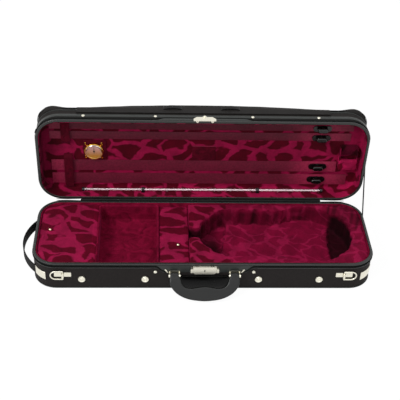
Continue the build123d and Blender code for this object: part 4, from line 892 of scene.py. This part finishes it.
LEFT_END = -376
RIBBONS = ((197, 22.5, 371), (168, 22.5, 367), (77.5, 32, 341), (37, 32, 371))  # height, width, right end
for k, (height, width, right_end) in enumerate(RIBBONS, 1):
    length = right_end - LEFT_END
    ribbon = bmesh.new()
    bmesh.ops.create_grid(ribbon, x_segments=150, y_segments=8, size=0.5)
    for v in ribbon.verts:
        x, across = (v.co.x + 0.5) * length + LEFT_END, v.co.y * width
        belly = 0.5 * (1 - (2 * v.co.y) ** 2) + 0.3 * waves(Vector((x, 3 * across, 0)), 46, 46, k)
        v.co = (x, row(height) + across, 39.4 - belly)
    bmesh.ops.solidify(ribbon, geom=ribbon.faces[:], thickness=0.6)
    bmesh.ops.recalc_face_normals(ribbon, faces=ribbon.faces)
    made = piece(ribbon, f"satin_ribbon_{k}", satin, "lid", OPEN_LID, ["bow_strips"], sharp=60)
    painted(made, satin_painted_light)

covers = softened("tip_covers", 0.8, 2)
piece(covers, "velvet_tip_covers", dark_velvet, "lid", stands_for=["tip_covers"], sharp=80)

patch = rounded_sheet(58, 43, 2)
bmesh.ops.translate(patch, vec=(3.5, row(116), 0), verts=patch.verts)
piece(thickened(patch, 38.7, 40.2, 0.6), "velvet_patch", dark_velvet, "lid", OPEN_LID, ["label_patch"])
# welt along the top of the patch: its satin painted 2.2 times as bright, a painted highlight of the lit edge
welt = [(x, row(137.8), 38.3) for x in (-25, -10, 4, 18, 32)]
painted(piece(smooth_line(welt, 0.8), "patch_welt", satin, "lid", OPEN_LID), lambda spot, normal: 2.2)

pouch = softened("pouch", 1.0, 2)
for v in pouch.verts:
    spot = v.co
    inside = min(spot.x - 343, 389 - spot.x)
    bulge = ease(spot.z, 159, 172) * (1 - ease(spot.z, 186, 196)) * ease(inside, 0, 16)
    spot.y -= 4.5 * bulge * (1 - ease(spot.y, 149, 158)) + 0.7 * waves(spot, 13, 13, 2.0)
smoothed(pouch, 1)
pouch = piece(pouch, "velvet_pouch", lid_velvet_shaded, "lid", stands_for=["pouch"], sharp=80)


def pouch_painted_shade(spot, normal):
    """Painted shade of the pouch: dark in its mouth, painted light on its front and its left side."""
    return 0.3 + 1.0 * (1 - ease(spot.z, 188, 200)) + 0.5 * (1 - ease(spot.x, 344, 350))


painted(pouch, pouch_painted_shade)

cushion = rounded_sheet(57, 55, 6)
bmesh.ops.translate(cushion, vec=(-267, LID_MIDDLE - 208, 0), verts=cushion.verts)
cushion = thickened(cushion, 36.9, 40.3, 1.6, 4)
cushion = piece(cushion, "velvet_dial_pad", dark_velvet, "lid", OPEN_LID, ["dial_pad"])
pin = ((0, 2.4), (0.9, 2.2), (1.6, 1.5), (1.9, 0.4), (1.9, 0), (0, 0))
pins = turned_part(pin, [(x, LID_MIDDLE - z, 0) for x in (-290, -250) for z in (189, 228)], 16)
bmesh.ops.scale(pins, vec=(1, 1, -1), verts=pins.verts)
bmesh.ops.translate(pins, vec=(0, 0, 36.9), verts=pins.verts)
bmesh.ops.recalc_face_normals(pins, faces=pins.faces)
piece(pins, "gilt_pad_pins", gold, "lid", OPEN_LID)

face_low, face_high = (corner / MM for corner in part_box("dial_face"))
hub = (face_low + face_high) / 2
disc = turned_part(((0, 0), (20.4, 0), (20.6, 0.3), (20.4, 0.7), (0, 0.7)), [(0, 0, 0)], 64)
disc.transform(Matrix.Translation((hub.x, 157.6, hub.z)) @ Matrix.Rotation(math.pi / 2, 4, "X"))
piece(disc, "dial_card", dial_card, "lid", stands_for=["dial_face"])
# plain ticks, every fifth one longer
ticks = bmesh.new()
for k in range(25):
    size, reach = ((0.35, 0.3, 1.7), 16.3) if k % 5 else ((0.5, 0.3, 3.2), 15.5)
    turned = Matrix.Rotation(math.radians(10 * k - 120), 4, "Y")
    block(ticks, size, Matrix.Translation((hub.x, 156.8, hub.z)) @ turned @ Matrix.Translation((0, 0, reach)))
piece(ticks, "dial_ticks", dial_ink, "lid", sharp=30)

# ---- pointed feet of the bow spinners ----
half_lens = smooth_line([(-24, 0, 0), (-17, 4.6, 0), (-7, 8.4, 0), (7, 8.4, 0), (17, 4.6, 0), (24, 0, 0)])
lens_line = half_lens + [Vector((v.x, -v.y, 0)) for v in reversed(half_lens[1:-1])]
lenses = bmesh.new()
for z in (275.4, 247.9, 160.4, 119.9):
    foot = thickened(outlined(lens_line), 0, 3.6, 1.0, 3)
    foot.transform(Matrix.Translation((293, LID_MIDDLE - z, 35.6)))
    mesh = bpy.data.meshes.new("foot")
    foot.to_mesh(mesh)
    foot.free()
    lenses.from_mesh(mesh)
piece(lenses, "spinner_feet", black_plastic, "lid", OPEN_LID)

# ---- strap that stops the lid ----
lower, upper = Vector((407.7, 70, 58)), Vector((407.7, 137.4, 185.4))
run = (upper - lower).normalized()


def lengthways(shape):
    """Edges of the strap that run along it."""
    return [e for e in shape.edges if abs((e.verts[0].co - e.verts[1].co).normalized().dot(run)) > 0.9]


steep = Matrix.Rotation(-math.atan2(run.y, run.z), 4, "X")
stay = block(bmesh.new(), (1.4, 9, (upper - lower).length + 10),
             Matrix.Translation((lower + upper) / 2) @ steep)
bmesh.ops.bevel(stay, geom=lengthways(stay), offset=0.5, offset_type="OFFSET", segments=2, profile=0.5,
                affect="EDGES", material=-1)
bmesh.ops.subdivide_edges(stay, edges=lengthways(stay), cuts=40, use_grid_fill=True)
stay = piece(stay, "webbing_lid_stay", webbing, None, stands_for=["lid_stay"])
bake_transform(stay)
for end, body in ((lower, "base"), (upper, "lid")):
    rivet = turned_part(((0, 1.6), (1.6, 1.4), (2.8, 0.7), (3, 0), (0, 0)), [(0, 0, 0)], 20)
    rivet.transform(Matrix.Translation(end + Vector((0.7, 0, 0))) @ Matrix.Rotation(math.pi / 2, 4, "Y"))
    piece(rivet, f"stay_rivet_of_the_{body}", nickel, body)

# ---- light, floor and backdrop ----
world = bpy.data.worlds.new("studio")
bpy.context.scene.world = world
world.use_nodes = True
sky = world.node_tree
sky.nodes.clear()
flat = bmesh.new()
bmesh.ops.create_grid(flat, x_segments=1, y_segments=1, size=6)
floor_mesh = bpy.data.meshes.new("floor")
flat.to_mesh(floor_mesh)
flat.free()
floor = shown("floor", floor_mesh)
# matt white paper: gives a plain pale ground that keeps the shadow of the case
pale = bpy.data.materials.new("white_paper_sweep")
pale.use_nodes = True
paper = pale.node_tree.nodes["Principled BSDF"]
paper.inputs["Base Color"].default_value = linear("F4F4F4")
paper.inputs["Roughness"].default_value = 0.9
paper.inputs["Specular IOR Level"].default_value = 0.0
floor_mesh.materials.append(pale)


def seen_white(tree):
    """1 where the camera sees the surface straight, in a gloss or through glass."""
    path = add(tree, "LightPath")
    seen = path.outputs["Is Camera Ray"]
    for kind in ("Is Glossy Ray", "Is Transmission Ray"):
        seen = add(tree, "Math", {}, {0: seen, 1: path.outputs[kind]}, operation="MAXIMUM").outputs[0]
    return seen


plain = add(sky, "Background", {"Color": (1, 1, 1, 1), "Strength": 1.0})
soft_light = add(sky, "Background", {"Color": (1, 1, 1, 1), "Strength": 0.4})
both = add(sky, "MixShader", {}, {0: seen_white(sky), 1: soft_light.outputs[0], 2: plain.outputs[0]})
add(sky, "OutputWorld", {}, {"Surface": both.outputs[0]})
share = add(pale.node_tree, "Math", {1: 0.88}, {0: seen_white(pale.node_tree)}, operation="MULTIPLY")
glow = add(pale.node_tree, "Emission", {"Color": (1, 1, 1, 1), "Strength": 1.07})
mixed = add(pale.node_tree, "MixShader", {}, {0: share.outputs[0], 1: paper.outputs[0], 2: glow.outputs[0]})
pale.node_tree.links.new(mixed.outputs[0], pale.node_tree.nodes["Material Output"].inputs["Surface"])

for name, spot, size, power in (
    ("key_softbox", (-1.9, -1.5, 2.3), 0.9, 46.0),
    ("fill_softbox", (0.6, -2.4, 1.4), 2.4, 8.0),
    ("top_softbox", (0.2, -0.4, 2.6), 1.4, 12.0),
):
    lamp = bpy.data.lights.new(name, "AREA")
    lamp.size = size
    lamp.energy = power
    softbox = shown(name, lamp)
    softbox.location = spot
    softbox.rotation_euler = (Vector((0, 0, 0.1)) - Vector(spot)).to_track_quat("-Z", "Y").to_euler()

bpy.context.scene.view_settings.view_transform = "Standard"
